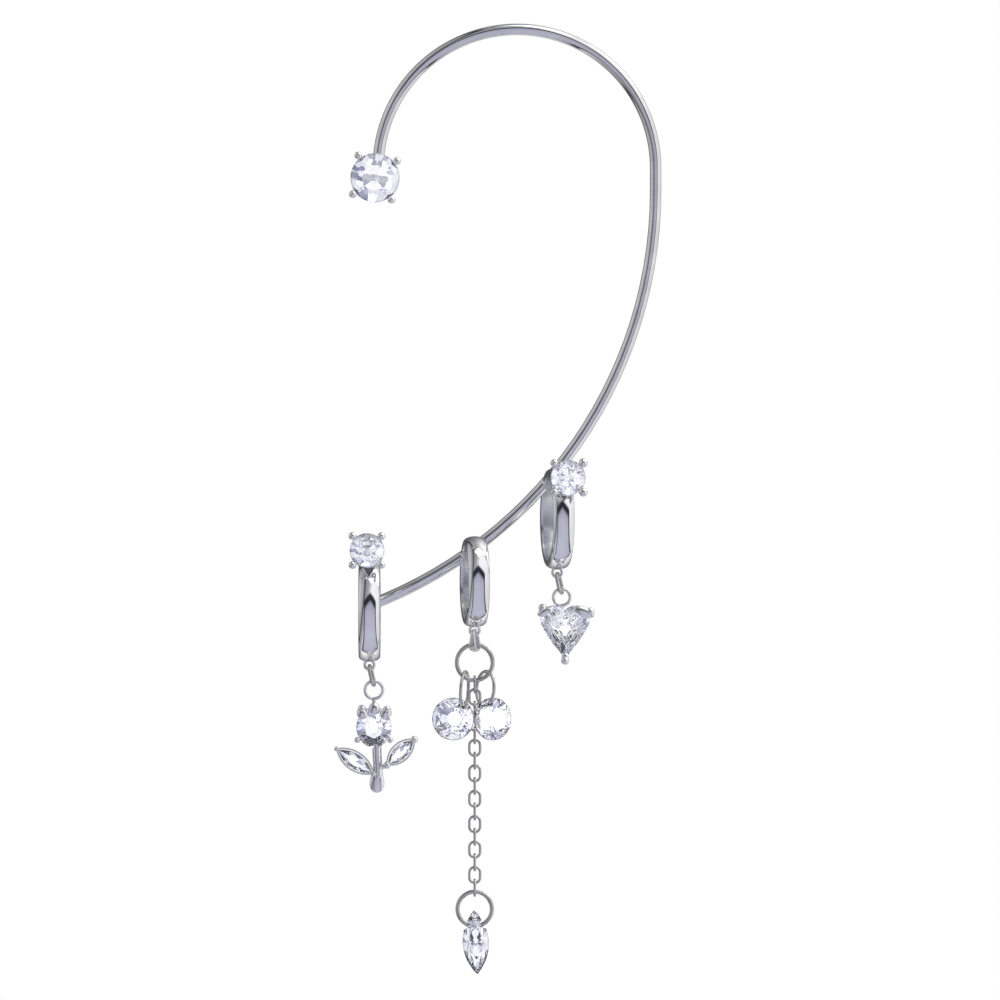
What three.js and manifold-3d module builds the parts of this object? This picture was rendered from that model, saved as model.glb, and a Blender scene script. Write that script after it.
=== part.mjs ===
// An ear cuff of polished steel: a round wire that hooks over the ear, three hoops soldered to its tail,
// and three drops of cut stones that hang from the hoops.
// Millimetres and degrees. +Z is up, +X points to the back of the ear, and the front faces -Y.
// The origin is the underside of the wire at the top of its bow, where it rests on the ear.
import * as THREE from "three";
import { ConvexGeometry } from "three/addons/geometries/ConvexGeometry.js";
import { mergeVertices } from "three/addons/utils/BufferGeometryUtils.js";
import Module from "manifold-3d";

// Ear wire
const wireDiameter = 1.15;
const bowRadius = 13.9; // half circle over the ear
const frontDrop = 1.05; // from the bow straight down to the top setting
const backDrop = 2.3; // from the bow straight down to the tail
const tailRadius = 44.4;
const tailSweep = 69.7;
const topStoneAcross = -0.3; // from the wire's front end
const topStoneTurn = 8;

// Hoops
const leftHoopDiameter = 10.1;
const middleHoopDiameter = 9.1;
const rightHoopDiameter = 10.2;
const hoopBreadth = 2.15;
const hoopWall = 0.95;
const hoopDome = 0.5; // how far the band's edges lie under its crown
const hoopInnerShare = 0.9; // of the band's breadth, between its inner edges
const solderDepth = 0.25; // how deep soldered pieces run into each other
const saddleSweep = 16; // how far the pointed saddle under a stone runs down the band
const saddleBreadth = 1.55;
const saddleRise = 0.16;
const postWaist = 0.9; // the post's breadth at the setting, as a share of its breadth at the band
const hoopEyeDiameter = 1.24; // the small eye under each hoop
const hoopEyeWire = 0.28;
const hoopEyeDrop = 0.3; // from the band to the eye's middle

// Stones
const topStoneDiameter = 4.9;
const leftStoneDiameter = 3.45;
const rightStoneDiameter = 3.5;
const roundStoneDiameter = 4.25;
const marquiseLength = 6.4;
const marquiseWidth = 2.6;
const tulipStoneHeight = 4.05;
const tulipStoneWidth = 3.5;
const leftLeafLength = 4.0;
const leftLeafWidth = 1.5;
const rightLeafLength = 3.3;
const rightLeafWidth = 1.45;
const heartWidth = 4.95;
const heartHeight = 5.3;
const heartLobeRadius = 1.41;
const heartLobeFoot = -25; // the angle at which a lobe's arc gives way to the straight side
const stoneGap = 0.08; // between a stone and its setting
const girdle = 0.12; // thickness of a stone's rim
const stoneHole = 0.74;
const marquiseHole = 0.86;
const holeInset = 0.62; // from a round stone's rim to the middle of its hole
const marquiseHoleInset = 1.45;
const marquiseTilt = -3;

// Settings
const clawWire = 0.46;
const clawBall = 0.78;
const petalBall = 0.8;
const smallClawWire = 0.34;
const smallClawBall = 0.6;
const leafClawWire = 0.28;
const leafClawBall = 0.48;
const footHeight = 0.6;
const footDiameter = 1.7;
const bezelWall = 0.16;
const bezelHeight = 0.62;

// Links and rings
const linkPlay = 0.05; // between two wires that hang in each other
const dropPlay = 0.11; // between a drop's oval link and its neighbours
const ringPlay = 0.21; // between the upper ring and a stone's ring
const eyePlay = 0.24; // between the flat bail and its eye
const footPlay = 0.26; // between the bail's foot and the upper ring
const linkWire = 0.34;
const linkWidth = 1.5;
const linkLength = 2.36;
const tulipRingDiameter = 2.1;
const heartRingDiameter = 2.0;
const dropRingWire = 0.33;
const bailLength = 2.32;
const bailDepth = 1.45;
const bailThickness = 0.26;
const bailTopBreadth = 0.3;
const bailFootBreadth = 1.0;
const bailTurn = 66;
const upperRingDiameter = 4.0;
const lowerRingDiameter = 3.86;
const bigRingWire = 0.42;
const stoneRingWire = 0.33;
const chainLinkLength = 1.84;
const chainLinkWidth = 1.34;
const chainWire = 0.26;
const chainLinks = 17;

// Drops
const neckLength = 0.62; // from the tulip's ring to its stone
const stoneForward = 0.35; // a drop's stone in front of its ring
const tulipGalleryShare = 0.92; // of the stone's outline
const heartGallery = 2.0;
const heartAcross = 0.33; // from the middle of its ring
const heartRise = 0.2; // how far the stone's outline reaches up past the foot of its ring
const stemAcross = 0.3; // from the middle of the tulip's stone
const stemLean = 0.15;
const stemDiameter = 0.92;
const stemLength = 3.1;
const padLength = 1.9;
const padWidth = 1.5;
const padDepth = 0.72;
const padAcross = -0.15;

// Where the tail carries each hoop: along is the sweep from the tail's start, seat the angle round the
// hoop from its back up to the wire, turn how far the hoop's front faces +X.
const hoops = {
  left: { along: 69.2, diameter: leftHoopDiameter, seat: 6, turn: 0 },
  middle: { along: 54.4, diameter: middleHoopDiameter, seat: 38.6, turn: 6.5 },
  right: { along: 39.9, diameter: rightHoopDiameter, seat: 53.2, turn: 8.2 },
};

// The oval links: turn is how far each faces round from the front, sway how far its foot hangs towards +X.
const dropLinks = {
  tulip: { hoop: hoops.left, turn: 78, sway: 0.45, ringDiameter: tulipRingDiameter },
  heart: { hoop: hoops.right, turn: 72, sway: 0.45, ringDiameter: heartRingDiameter },
};

// Stones on the hoops: their places from the hoop's middle are shares of its radius.
const hoopStones = {
  left: { diameter: leftStoneDiameter, riseShare: 1.2, forwardShare: 0.72, acrossShare: -0.04 },
  right: { diameter: rightStoneDiameter, riseShare: 0.8, forwardShare: 0.97, acrossShare: 0.07 },
};

// Round stones under the upper ring. Hour is the angle on the ring from its lowest point, the shares are of
// the ring's diameter from its middle, and lean turns the hole off the stone's top.
const roundStones = {
  left: { hour: -30, acrossShare: -0.54, fallShare: 1.41, forwardShare: 0.13, turn: -12, lean: 40 },
  right: { hour: 31, acrossShare: 0.445, fallShare: 1.41, forwardShare: 0.15, turn: 30, lean: -24 },
};

// Leaves of the tulip: each meets the stem at a share of its length from its top, on one side of it and
// apart from it by a bare stretch of stalk, and lean turns the leaf's tip away from straight up.
const leaves = {
  left: { length: leftLeafLength, width: leftLeafWidth, rootShare: 0.94, side: -1, apart: 0, lean: -56 },
  right: { length: rightLeafLength, width: rightLeafWidth, rootShare: 0.78, side: 1, apart: 0.55, lean: 47 },
};

// Claws round the tulip's stone, and on the heart's two lobes, by the angle from the stone's +X side.
const tulipClaws = [
  { angle: 126, tip: petalBall },
  { angle: 50, tip: petalBall },
  { angle: 215, tip: smallClawBall },
  { angle: 325, tip: smallClawBall },
];
const heartClaws = [
  { side: -1, angle: 44 },
  { side: 1, angle: 28 },
];

// Levels of a brilliant cut, from the table down: the spread is a share of the outline, the depth a share of
// the stone's crown where it is positive and of its pavilion where it is negative.
const brilliantCut = [
  { level: "table", spreadShare: 0.56, depthShare: 1, corners: 8, halfStep: 0 },
  { level: "stars", spreadShare: 0.81, depthShare: 0.56, corners: 8, halfStep: 1 },
  { level: "rim", spreadShare: 1, depthShare: 0, corners: 16, halfStep: 0 },
  { level: "mains", spreadShare: 0.5, depthShare: -0.54, corners: 8, halfStep: 1 },
  { level: "culet", spreadShare: 0.06, depthShare: -1, corners: 4, halfStep: 0 },
];

// The same levels for half a heart, whose corners run from the cleft round the lobe to the point.
const heartCut = [
  { level: "table", spreadShare: 0.56, depthShare: 1 },
  { level: "stars", spreadShare: 0.81, depthShare: 0.56 },
  { level: "rim", spreadShare: 1, depthShare: 0 },
  { level: "mains", spreadShare: 0.5, depthShare: -0.54 },
  { level: "culet", spreadShare: 0.06, depthShare: -1 },
];

const crownShare = 0.16; // of a stone's width
const highCrownShare = 0.3; // of the marquise stone
const pavilionShare = 0.42;
const flatPavilionShare = 0.3; // of the drilled round stones and the drops' stones
const wireSides = 10;
const loopSides = 6;
const linkSteps = 10;
const bailSteps = 14;
const ringSteps = 20;
const hoopSteps = 30;
const wireSteps = 46;
const domeSteps = 4;

const degrees = Math.PI / 180;
const vector = (x, y, z) => new THREE.Vector3(x, y, z);
const wasm = await Module();
wasm.setup();

// Joining and cutting

function solidOf(geometry) {
  const bare = geometry.clone();
  bare.deleteAttribute("normal");
  bare.deleteAttribute("uv");
  const merged = mergeVertices(bare, 1e-5);
  const triVerts = new Uint32Array(merged.index.array);
  const vertProperties = merged.attributes.position.array;
  return new wasm.Manifold(new wasm.Mesh({ numProp: 3, vertProperties, triVerts }));
}

function geometryOf(solid) {
  const { vertProperties, triVerts } = solid.getMesh();
  const geometry = new THREE.BufferGeometry();
  geometry.setAttribute("position", new THREE.BufferAttribute(vertProperties, 3));
  geometry.setIndex(new THREE.BufferAttribute(triVerts, 1));
  return geometry;
}

function joined(geometries) {
  return geometryOf(geometries.map(solidOf).reduce((whole, next) => whole.add(next)));
}

function drilled(geometry, hole) {
  return geometryOf(solidOf(geometry).subtract(solidOf(hole)));
}

// Wires, rings and links

function roundSection(diameter, sides) {
  const corners = [];
  for (let i = 0; i < sides; i++) {
    const angle = (i / sides) * 2 * Math.PI;
    corners.push(new THREE.Vector2(Math.cos(angle), Math.sin(angle)).multiplyScalar(diameter / 2));
  }
  return new THREE.Shape(corners);
}

function bentWire(curve, diameter, sides, steps) {
  return new THREE.ExtrudeGeometry(roundSection(diameter, sides), { extrudePath: curve, steps });
}

function straightWire(from, to, diameter) {
  return bentWire(new THREE.LineCurve3(from, to), diameter, loopSides, 1);
}

function ball(diameter, centre) {
  return new THREE.SphereGeometry(diameter / 2, 8, 5).translate(centre.x, centre.y, centre.z);
}

// Pulls the two halves of a loop apart along Z.
function stretched(geometry, reach) {
  const place = geometry.attributes.position;
  for (let i = 0; i < place.count; i++) {
    place.setZ(i, place.getZ(i) + Math.sign(place.getZ(i)) * reach);
  }
  return geometry;
}

// A closed loop of round wire in the X-Z plane, with its long way along Z.
function wireLoop(wire, length, width, steps) {
  const loop = new THREE.TorusGeometry((width - wire) / 2, wire / 2, loopSides, steps);
  return stretched(loop.rotateZ(Math.PI / 2).rotateX(Math.PI / 2), (length - width) / 2);
}

// The bail: a closed loop of flat strip in the X-Z plane, broader at its foot.
function stripLoop() {
  const outer = bailDepth / 2;
  const inner = outer - bailThickness;
  const corners = [[inner, -0.5], [outer, -0.5], [outer, 0.5], [inner, 0.5], [inner, -0.5]];
  const profile = corners.map(([radius, across]) => new THREE.Vector2(radius, across));
  const loop = stretched(new THREE.LatheGeometry(profile, bailSteps), (bailLength - bailDepth) / 2);
  const place = loop.attributes.position;
  for (let i = 0; i < place.count; i++) {
    const fall = 0.5 - place.getZ(i) / bailLength;
    place.setY(i, place.getY(i) * THREE.MathUtils.lerp(bailTopBreadth, bailFootBreadth, fall ** 2));
  }
  return loop;
}

// The centreline height at which a loop's top wire rests on the bottom wire of the loop above it.
function restOn(height, wireAbove, wireBelow, play = linkPlay) {
  return height + (wireAbove + wireBelow) / 2 + play;
}

// Stones

const ellipse = (width, height) => (angle) =>
  new THREE.Vector2((width / 2) * Math.cos(angle), (height / 2) * Math.sin(angle));

// Two arcs that meet in points at either end of the Z direction.
const marquise = (width, length) => (angle) => {
  const arc = (length ** 2 + width ** 2) / (4 * width);
  const along = (length / 2) * Math.sin(angle);
  const across = Math.sqrt(arc ** 2 - along ** 2) - arc + width / 2;
  return new THREE.Vector2(Math.sign(Math.cos(angle)) * across, along);
};

function levelDepth(depthShare, crown, pavilion) {
  const rim = (depthShare >= 0 ? -girdle : girdle) / 2;
  return rim - (depthShare >= 0 ? depthShare * crown : depthShare * pavilion);
}

// A stone with its rim round the origin and its table towards -Y.
function cutStone(outline, crown, pavilion) {
  const points = [];
  for (const { spreadShare, depthShare, corners, halfStep } of brilliantCut) {
    for (let i = 0; i < corners; i++) {
      const edge = outline(((i + halfStep / 2) / corners) * 2 * Math.PI);
      edge.multiplyScalar(spreadShare);
      points.push(vector(edge.x, levelDepth(depthShare, crown, pavilion), edge.y));
      if (depthShare === 0) points.push(vector(edge.x, girdle / 2, edge.y));
    }
  }
  return new ConvexGeometry(points);
}

const lobeMiddle = new THREE.Vector2(heartWidth / 2 - heartLobeRadius, heartHeight / 2 - heartLobeRadius);

// A heart cut, made of two convex halves that meet in the plane between its lobes.
function heartStone(crown, pavilion) {
  const cleft = Math.acos(-lobeMiddle.x / heartLobeRadius);
  const edge = [new THREE.Vector2(0, -heartHeight / 2)];
  for (const share of [0, 0.2, 0.4, 0.6, 0.8, 1]) {
    const angle = THREE.MathUtils.lerp(heartLobeFoot * degrees, cleft, share);
    const way = new THREE.Vector2(Math.cos(angle), Math.sin(angle));
    edge.push(way.multiplyScalar(heartLobeRadius).add(lobeMiddle));
  }
  edge.at(-1).x = 0;
  const half = (side) => {
    const points = heartCut.flatMap(({ spreadShare: s, depthShare }) =>
      edge.map(({ x, y }) => vector(side * x * s, levelDepth(depthShare, crown, pavilion), y * s)),
    );
    const back = edge.map(({ x, y }) => vector(side * x, girdle / 2, y));
    return new ConvexGeometry([...points, ...back]);
  };
  return joined([half(1), half(-1)]);
}

// Settings, built round a stone whose rim is round the origin

// Where a claw stands: just outside the stone's outline at an angle.
function clawPlace(outline, angle, wire) {
  const along = outline((angle + 1) * degrees).sub(outline((angle - 1) * degrees)).normalize();
  const outward = new THREE.Vector2(along.y, -along.x).multiplyScalar(wire / 2 + stoneGap);
  return outline(angle * degrees).add(outward);
}

// A claw that rises from the foot, passes outside the rim and ends in a ball over the crown.
function claw(place, foot, wire, tip) {
  const lift = Math.sqrt((tip / 2 + stoneGap) ** 2 - (wire / 2 + stoneGap) ** 2) + girdle / 2;
  const end = vector(place.x, -lift, place.y);
  const knee = vector(place.x, (girdle + wire) / 2, place.y);
  const bend = new THREE.IcosahedronGeometry(wire / 2).translate(knee.x, knee.y, knee.z);
  return [straightWire(foot, knee, wire), straightWire(knee, end, wire), bend, ball(tip, end)];
}

// Four claws on a round foot behind a round stone, as far as the foot's back.
function roundSetting(diameter) {
  const depth = diameter * pavilionShare + girdle / 2 + stoneGap;
  const foot = new THREE.CylinderGeometry(footDiameter / 2, footDiameter / 2, footHeight, wireSides);
  const pieces = [foot.translate(0, depth + footHeight / 2, 0)];
  for (const angle of [45, 135, 225, 315]) {
    const place = clawPlace(ellipse(diameter, diameter), angle, clawWire);
    const root = place.clone().setLength(footDiameter / 2 - clawWire / 2);
    pieces.push(...claw(place, vector(root.x, depth + footHeight / 2, root.y), clawWire, clawBall));
  }
  return pieces;
}

const settingDepth = (diameter) => diameter * pavilionShare + girdle / 2 + stoneGap + footHeight;

// The wire and its hoops

const bowMiddle = wireDiameter / 2 - bowRadius; // height of the bow's centre
const tailMiddle = vector(bowRadius - tailRadius, 0, bowMiddle - backDrop);

function tailPoint(sweep) {
  const angle = sweep * degrees;
  return vector(tailRadius * Math.cos(angle), 0, -tailRadius * Math.sin(angle)).add(tailMiddle);
}

// The wire's flat path stood up in the X-Z plane.
class UprightCurve extends THREE.Curve {
  constructor(path) {
    super();
    this.path = path;
  }
  getPoint(share, target = new THREE.Vector3()) {
    const point = this.path.getPoint(share);
    return target.set(point.x, 0, point.y);
  }
}

function earWire() {
  const path = new THREE.Path();
  path.moveTo(-bowRadius, bowMiddle - frontDrop);
  path.lineTo(-bowRadius, bowMiddle);
  path.absarc(0, bowMiddle, bowRadius, Math.PI, 0, true);
  path.lineTo(bowRadius, tailMiddle.z);
  path.absarc(tailMiddle.x, tailMiddle.z, tailRadius, 0, -tailSweep * degrees, true);
  return bentWire(new UprightCurve(path), wireDiameter, wireSides, wireSteps);
}

// A domed band about the X axis.
function hoopBand(diameter) {
  const edge = diameter / 2 - hoopDome;
  const profile = [];
  for (let i = 0; i <= domeSteps; i++) {
    const angle = (i / domeSteps - 0.5) * Math.PI;
    const across = (hoopBreadth / 2) * Math.sin(angle);
    profile.push(new THREE.Vector2(edge + hoopDome * Math.cos(angle), across));
  }
  for (const side of [hoopInnerShare, -hoopInnerShare]) {
    profile.push(new THREE.Vector2(diameter / 2 - hoopWall, (side * hoopBreadth) / 2));
  }
  profile.push(profile[0].clone());
  return new THREE.LatheGeometry(profile, hoopSteps).rotateZ(-Math.PI / 2);
}

function hoopEye(diameter) {
  const eye = wireLoop(hoopEyeWire, hoopEyeDiameter, hoopEyeDiameter, linkSteps);
  return eye.translate(0, 0, -diameter / 2 - hoopEyeDrop);
}

// The pointed saddle under a hoop's stone, and the post from the setting's foot to the band.
function hoopSaddle(hoop, stone) {
  const radius = hoop.diameter / 2;
  const foot = stonePlace(hoop, stone).add(vector(0, settingDepth(stone.diameter) - footHeight / 2, 0));
  const lean = Math.atan2(foot.z, -foot.y);
  const onBand = (angle, across, proud) =>
    vector(across, -(radius + proud) * Math.cos(angle), (radius + proud) * Math.sin(angle));
  const top = Math.asin(stone.riseShare - stone.diameter / hoop.diameter);
  const tip = top - saddleSweep * degrees;
  const wide = saddleBreadth / 2;
  const wedge = [
    onBand(top, -wide, saddleRise),
    onBand(top, wide, saddleRise),
    onBand(tip, 0, saddleRise / 2),
    onBand(top, -wide, -hoopDome),
    onBand(top, wide, -hoopDome),
    onBand(tip, 0, -hoopDome),
  ];
  const post = [];
  for (const side of [-wide, wide]) {
    for (const end of [-footHeight / 2, footHeight / 2]) {
      post.push(foot.clone().add(vector(side * postWaist, end, 0)));
    }
    for (const end of [-saddleSweep / 3, saddleSweep / 3]) {
      post.push(onBand(lean + end * degrees, side + foot.x, -hoopWall / 2));
    }
  }
  return [new ConvexGeometry(post), new ConvexGeometry(wedge)];
}

function stonePlace(hoop, stone) {
  const radius = hoop.diameter / 2;
  return vector(stone.acrossShare, -stone.forwardShare, stone.riseShare).multiplyScalar(radius);
}

// The matrix from a hoop's own frame, with its front at -Y, to the part's frame.
function hoopFrame(hoop) {
  const reach = (hoop.diameter + wireDiameter) / 2 - solderDepth;
  const frame = new THREE.Matrix4().makeRotationZ(hoop.turn * degrees);
  const seat = vector(0, Math.cos(hoop.seat * degrees), Math.sin(hoop.seat * degrees));
  const middle = tailPoint(hoop.along).sub(seat.multiplyScalar(reach).applyMatrix4(frame));
  return frame.setPosition(middle);
}

const topStonePlace = vector(
  topStoneAcross - bowRadius,
  solderDepth - wireDiameter / 2 - settingDepth(topStoneDiameter),
  bowMiddle - frontDrop,
);

function solderedFrame() {
  const pieces = [earWire(), ball(wireDiameter, tailPoint(tailSweep))];
  for (const piece of roundSetting(topStoneDiameter)) {
    pieces.push(piece.rotateY(topStoneTurn * degrees).translate(...topStonePlace.toArray()));
  }
  for (const [side, hoop] of Object.entries(hoops)) {
    const own = [hoopBand(hoop.diameter), hoopEye(hoop.diameter)];
    const stone = hoopStones[side];
    if (stone) {
      const place = stonePlace(hoop, stone).toArray();
      own.push(...roundSetting(stone.diameter).map((piece) => piece.translate(...place)));
      own.push(...hoopSaddle(hoop, stone));
    }
    pieces.push(...own.map((piece) => piece.applyMatrix4(hoopFrame(hoop))));
  }
  return joined(pieces);
}

// Nodes

const steel = { color: 0xd6d7dd, metalness: 1, roughness: 0.12 };
const crystal = { color: 0xf2f5ff, metalness: 0, roughness: 0.03, transparent: true, opacity: 0.6 };
const cuff = new THREE.Group();

function addNode(name, geometry, look) {
  const mesh = new THREE.Mesh(geometry, new THREE.MeshStandardMaterial(look));
  mesh.name = name;
  cuff.add(mesh);
  return mesh;
}

// Hangs a loop between the centreline points of its own top and bottom wire, with its breadth along across.
// Returns the direction of its bottom wire.
function hang(mesh, top, bottom, across) {
  const up = top.clone().sub(bottom).normalize();
  const side = across.clone().addScaledVector(up, -across.dot(up)).normalize();
  const basis = new THREE.Matrix4().makeBasis(side, up.clone().cross(side), up);
  mesh.quaternion.setFromRotationMatrix(basis);
  mesh.position.copy(top).add(bottom).multiplyScalar(0.5);
  return side;
}

const eyeFoot = (hoop) => {
  const drop = hoop.diameter / 2 + hoopEyeDrop + (hoopEyeDiameter - hoopEyeWire) / 2;
  return vector(0, 0, -drop).applyMatrix4(hoopFrame(hoop));
};

const sideways = (turn) => vector(Math.cos(turn * degrees), Math.sin(turn * degrees), 0);

// The oval link between a hoop's eye and a drop's ring. Returns the middle of the ring that hangs in it.
function addDropLink(name, { hoop, turn, sway, ringDiameter }) {
  const top = eyeFoot(hoop);
  top.z = restOn(top.z, hoopEyeWire, linkWire, dropPlay);
  const bottom = top.clone().add(vector(sway, 0, linkWire - linkLength));
  const link = addNode(name, wireLoop(linkWire, linkLength, linkWidth, linkSteps), steel);
  hang(link, top, bottom, sideways(turn));
  const ringTop = restOn(bottom.z, linkWire, dropRingWire, dropPlay);
  return vector(bottom.x, bottom.y, ringTop - (ringDiameter - dropRingWire) / 2);
}

function addTopAndHoopStones() {
  const pavilion = (diameter) => diameter * pavilionShare;
  const round = (size) => cutStone(ellipse(size, size), size * crownShare, pavilion(size));
  const top = addNode("top_stone", round(topStoneDiameter), crystal);
  top.position.copy(topStonePlace);
  top.rotation.y = topStoneTurn * degrees;
  for (const [side, stone] of Object.entries(hoopStones)) {
    const mesh = addNode(side + "_hoop_stone", round(stone.diameter), crystal);
    mesh.position.copy(stonePlace(hoops[side], stone).applyMatrix4(hoopFrame(hoops[side])));
    mesh.rotation.z = hoops[side].turn * degrees;
  }
}

// A thin wall round a marquise stone, with a small claw over each of its points.
function leafSetting(width, length) {
  const outline = (grow) => {
    const edge = marquise(width + 2 * grow, length + 2 * grow);
    const corners = [];
    for (let i = 0; i < ringSteps; i++) corners.push(edge((i / ringSteps) * 2 * Math.PI));
    return corners;
  };
  const shape = new THREE.Shape(outline(stoneGap + bezelWall));
  shape.holes.push(new THREE.Path(outline(stoneGap)));
  const wall = new THREE.ExtrudeGeometry(shape, { depth: bezelHeight, bevelEnabled: false });
  const pieces = [wall.rotateX(Math.PI / 2).translate(0, bezelHeight, 0)];
  for (const angle of [90, 270]) {
    const place = clawPlace(marquise(width, length), angle, leafClawWire);
    pieces.push(...claw(place, vector(place.x, bezelHeight / 2, place.y), leafClawWire, leafClawBall));
  }
  return pieces;
}

// A wire loop behind a stone's rim, with claws that rise from it to the places given.
function gallerySetting(width, height, depth, claws) {
  const loop = wireLoop(smallClawWire, height, width, ringSteps).translate(0, depth, 0);
  const pieces = [loop];
  for (const { place, tip } of claws) {
    const across = (2 * place.x) / (width - smallClawWire);
    const along = (2 * place.y) / (height - smallClawWire);
    const foot = place.clone().divideScalar(Math.hypot(across, along));
    pieces.push(...claw(place, vector(foot.x, depth, foot.y), smallClawWire, tip));
  }
  return pieces;
}

function flatStone(outline, width) {
  return cutStone(outline, width * crownShare, width * flatPavilionShare);
}

function addTulip() {
  const middle = addDropLink("tulip_link", dropLinks.tulip);
  const outline = ellipse(tulipStoneWidth, tulipStoneHeight);
  const flower = vector(0, -stoneForward, -tulipRingDiameter / 2 - neckLength - tulipStoneHeight / 2);
  const claws = tulipClaws.map(({ angle, tip }) => {
    return { place: clawPlace(outline, angle, smallClawWire), tip };
  });
  const gallery = [tulipStoneWidth * tulipGalleryShare, tulipStoneHeight * tulipGalleryShare];
  const galleryDepth = (tulipStoneWidth * flatPavilionShare) / 2 + smallClawWire;
  const basket = gallerySetting(...gallery, galleryDepth, claws);
  const ring = wireLoop(dropRingWire, tulipRingDiameter, tulipRingDiameter, ringSteps);
  const neckTop = vector(0, 0, (dropRingWire - tulipRingDiameter) / 2);
  const neckFoot = vector(0, galleryDepth, (gallery[1] - smallClawWire) / 2).add(flower);
  const stemTop = vector(stemAcross, galleryDepth, -gallery[1] / 2 + smallClawWire / 4).add(flower);
  const stemFoot = stemTop.clone().add(vector(stemLean, 0, -stemLength));
  const stemBend = stemTop.clone().setZ((stemTop.z + stemFoot.z) / 2);
  const stem = new THREE.QuadraticBezierCurve3(stemTop, stemBend, stemFoot);
  const pieces = [
    ring,
    straightWire(neckTop, neckFoot, smallClawWire),
    bentWire(stem, stemDiameter, 10, 5),
    stemPad(stemFoot),
    ...basket.map((piece) => piece.translate(...flower.toArray())),
  ];
  addNode("tulip_stone", flatStone(outline, tulipStoneWidth), crystal).position.copy(flower).add(middle);
  for (const [side, leaf] of Object.entries(leaves)) {
    const root = stem.getPoint(leaf.rootShare).add(vector((leaf.side * stemDiameter) / 2, -stoneForward, 0));
    const turn = leaf.lean * degrees;
    const way = vector(Math.sin(turn), 0, Math.cos(turn));
    const reach = leaf.apart + leaf.length / 2 + stoneGap + bezelWall;
    const place = root.clone().addScaledVector(way, reach);
    for (const piece of leafSetting(leaf.width, leaf.length)) {
      pieces.push(piece.rotateY(turn).translate(...place.toArray()));
    }
    const joint = root.clone().setX(stem.getPoint(leaf.rootShare).x).setY(galleryDepth - stoneForward);
    const stalk = root.clone().addScaledVector(way, leaf.apart);
    pieces.push(straightWire(stalk.setY(root.y + bezelHeight / 2), joint, leafClawBall));
    const cut = flatStone(marquise(leaf.width, leaf.length), leaf.width);
    const stone = addNode(side + "_leaf_stone", cut, crystal);
    stone.position.copy(place).add(middle);
    stone.rotation.y = turn;
  }
  addNode("tulip_setting", joined(pieces), steel).position.copy(middle);
}

// The flat teardrop at the stem's foot.
function stemPad(stemFoot) {
  const points = [];
  const drop = new THREE.SphereGeometry(0.5, 12, 8).scale(padWidth, padDepth, padLength);
  drop.translate(stemFoot.x + padAcross, stemFoot.y, stemFoot.z - padLength * 0.4);
  const crown = ball(stemDiameter * 0.7, stemFoot);
  for (const { attributes } of [drop, crown]) {
    for (let i = 0; i < attributes.position.count; i++) {
      points.push(new THREE.Vector3().fromBufferAttribute(attributes.position, i));
    }
  }
  return new ConvexGeometry(points);
}

function addHeart() {
  const middle = addDropLink("heart_link", dropLinks.heart);
  const heart = vector(heartAcross, -stoneForward, heartRise - (heartRingDiameter + heartHeight) / 2);
  const claws = heartClaws.map(({ side, angle }) => {
    const lift = heartLobeRadius + smallClawWire / 2 + stoneGap;
    const turn = angle * degrees;
    const place = new THREE.Vector2(Math.cos(turn), Math.sin(turn)).multiplyScalar(lift).add(lobeMiddle);
    return { place: place.setX(side * place.x), tip: petalBall };
  });
  const point = new THREE.Vector2(0, -heartHeight / 2 - smallClawWire / 2 - stoneGap);
  claws.push({ place: point, tip: petalBall });
  const pavilion = heartWidth * flatPavilionShare;
  const galleryDepth = pavilion + girdle / 2;
  const basket = gallerySetting(heartGallery, heartGallery, galleryDepth, claws);
  const neckTop = vector(0, 0, (dropRingWire - heartRingDiameter) / 2);
  const neckFoot = vector(0, galleryDepth, (heartGallery - smallClawWire) / 2).add(heart);
  const pieces = [
    wireLoop(dropRingWire, heartRingDiameter, heartRingDiameter, ringSteps),
    straightWire(neckTop, neckFoot, smallClawWire),
    ...basket.map((piece) => piece.translate(...heart.toArray())),
  ];
  addNode("heart_setting", joined(pieces), steel).position.copy(middle);
  const stone = addNode("heart_stone", heartStone(heartWidth * crownShare, pavilion), crystal);
  stone.position.copy(heart).add(middle);
}

function addMiddleDrop() {
  const eye = eyeFoot(hoops.middle);
  const bailTop = vector(eye.x, eye.y, restOn(eye.z, hoopEyeWire, bailThickness, eyePlay));
  const bailFoot = bailTop.clone().setZ(bailTop.z + bailThickness - bailLength);
  const bail = addNode("bail", stripLoop(), steel);
  hang(bail, bailTop, bailFoot, sideways(bailTurn));

  const ringTop = restOn(bailFoot.z, bailThickness, bigRingWire, footPlay);
  const ringFoot = ringTop + bigRingWire - upperRingDiameter;
  const ringMiddle = vector(eye.x, eye.y, (ringTop + ringFoot) / 2);
  const upperRing = wireLoop(bigRingWire, upperRingDiameter, upperRingDiameter, ringSteps);
  addNode("upper_ring", upperRing, steel).position.copy(ringMiddle);
  for (const [side, stone] of Object.entries(roundStones)) addRoundStone(side, stone, ringMiddle);

  let top = restOn(ringFoot, bigRingWire, chainWire);
  let foot = top;
  for (let i = 1; i <= chainLinks; i++) {
    foot = top + chainWire - chainLinkLength;
    const name = "chain_link_" + String(i).padStart(2, "0");
    const link = addNode(name, wireLoop(chainWire, chainLinkLength, chainLinkWidth, linkSteps), steel);
    link.position.set(eye.x, eye.y, (top + foot) / 2);
    link.rotation.z = i % 2 ? Math.PI / 2 : 0;
    top = restOn(foot, chainWire, chainWire);
  }

  const lowerTop = restOn(foot, chainWire, bigRingWire);
  const lowerRing = wireLoop(bigRingWire, lowerRingDiameter, lowerRingDiameter, ringSteps);
  const lowerFoot = lowerTop + bigRingWire - lowerRingDiameter;
  addNode("lower_ring", lowerRing, steel).position.set(eye.x, eye.y, (lowerTop + lowerFoot) / 2);
  addMarquise(vector(eye.x, eye.y, lowerFoot));
}

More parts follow.
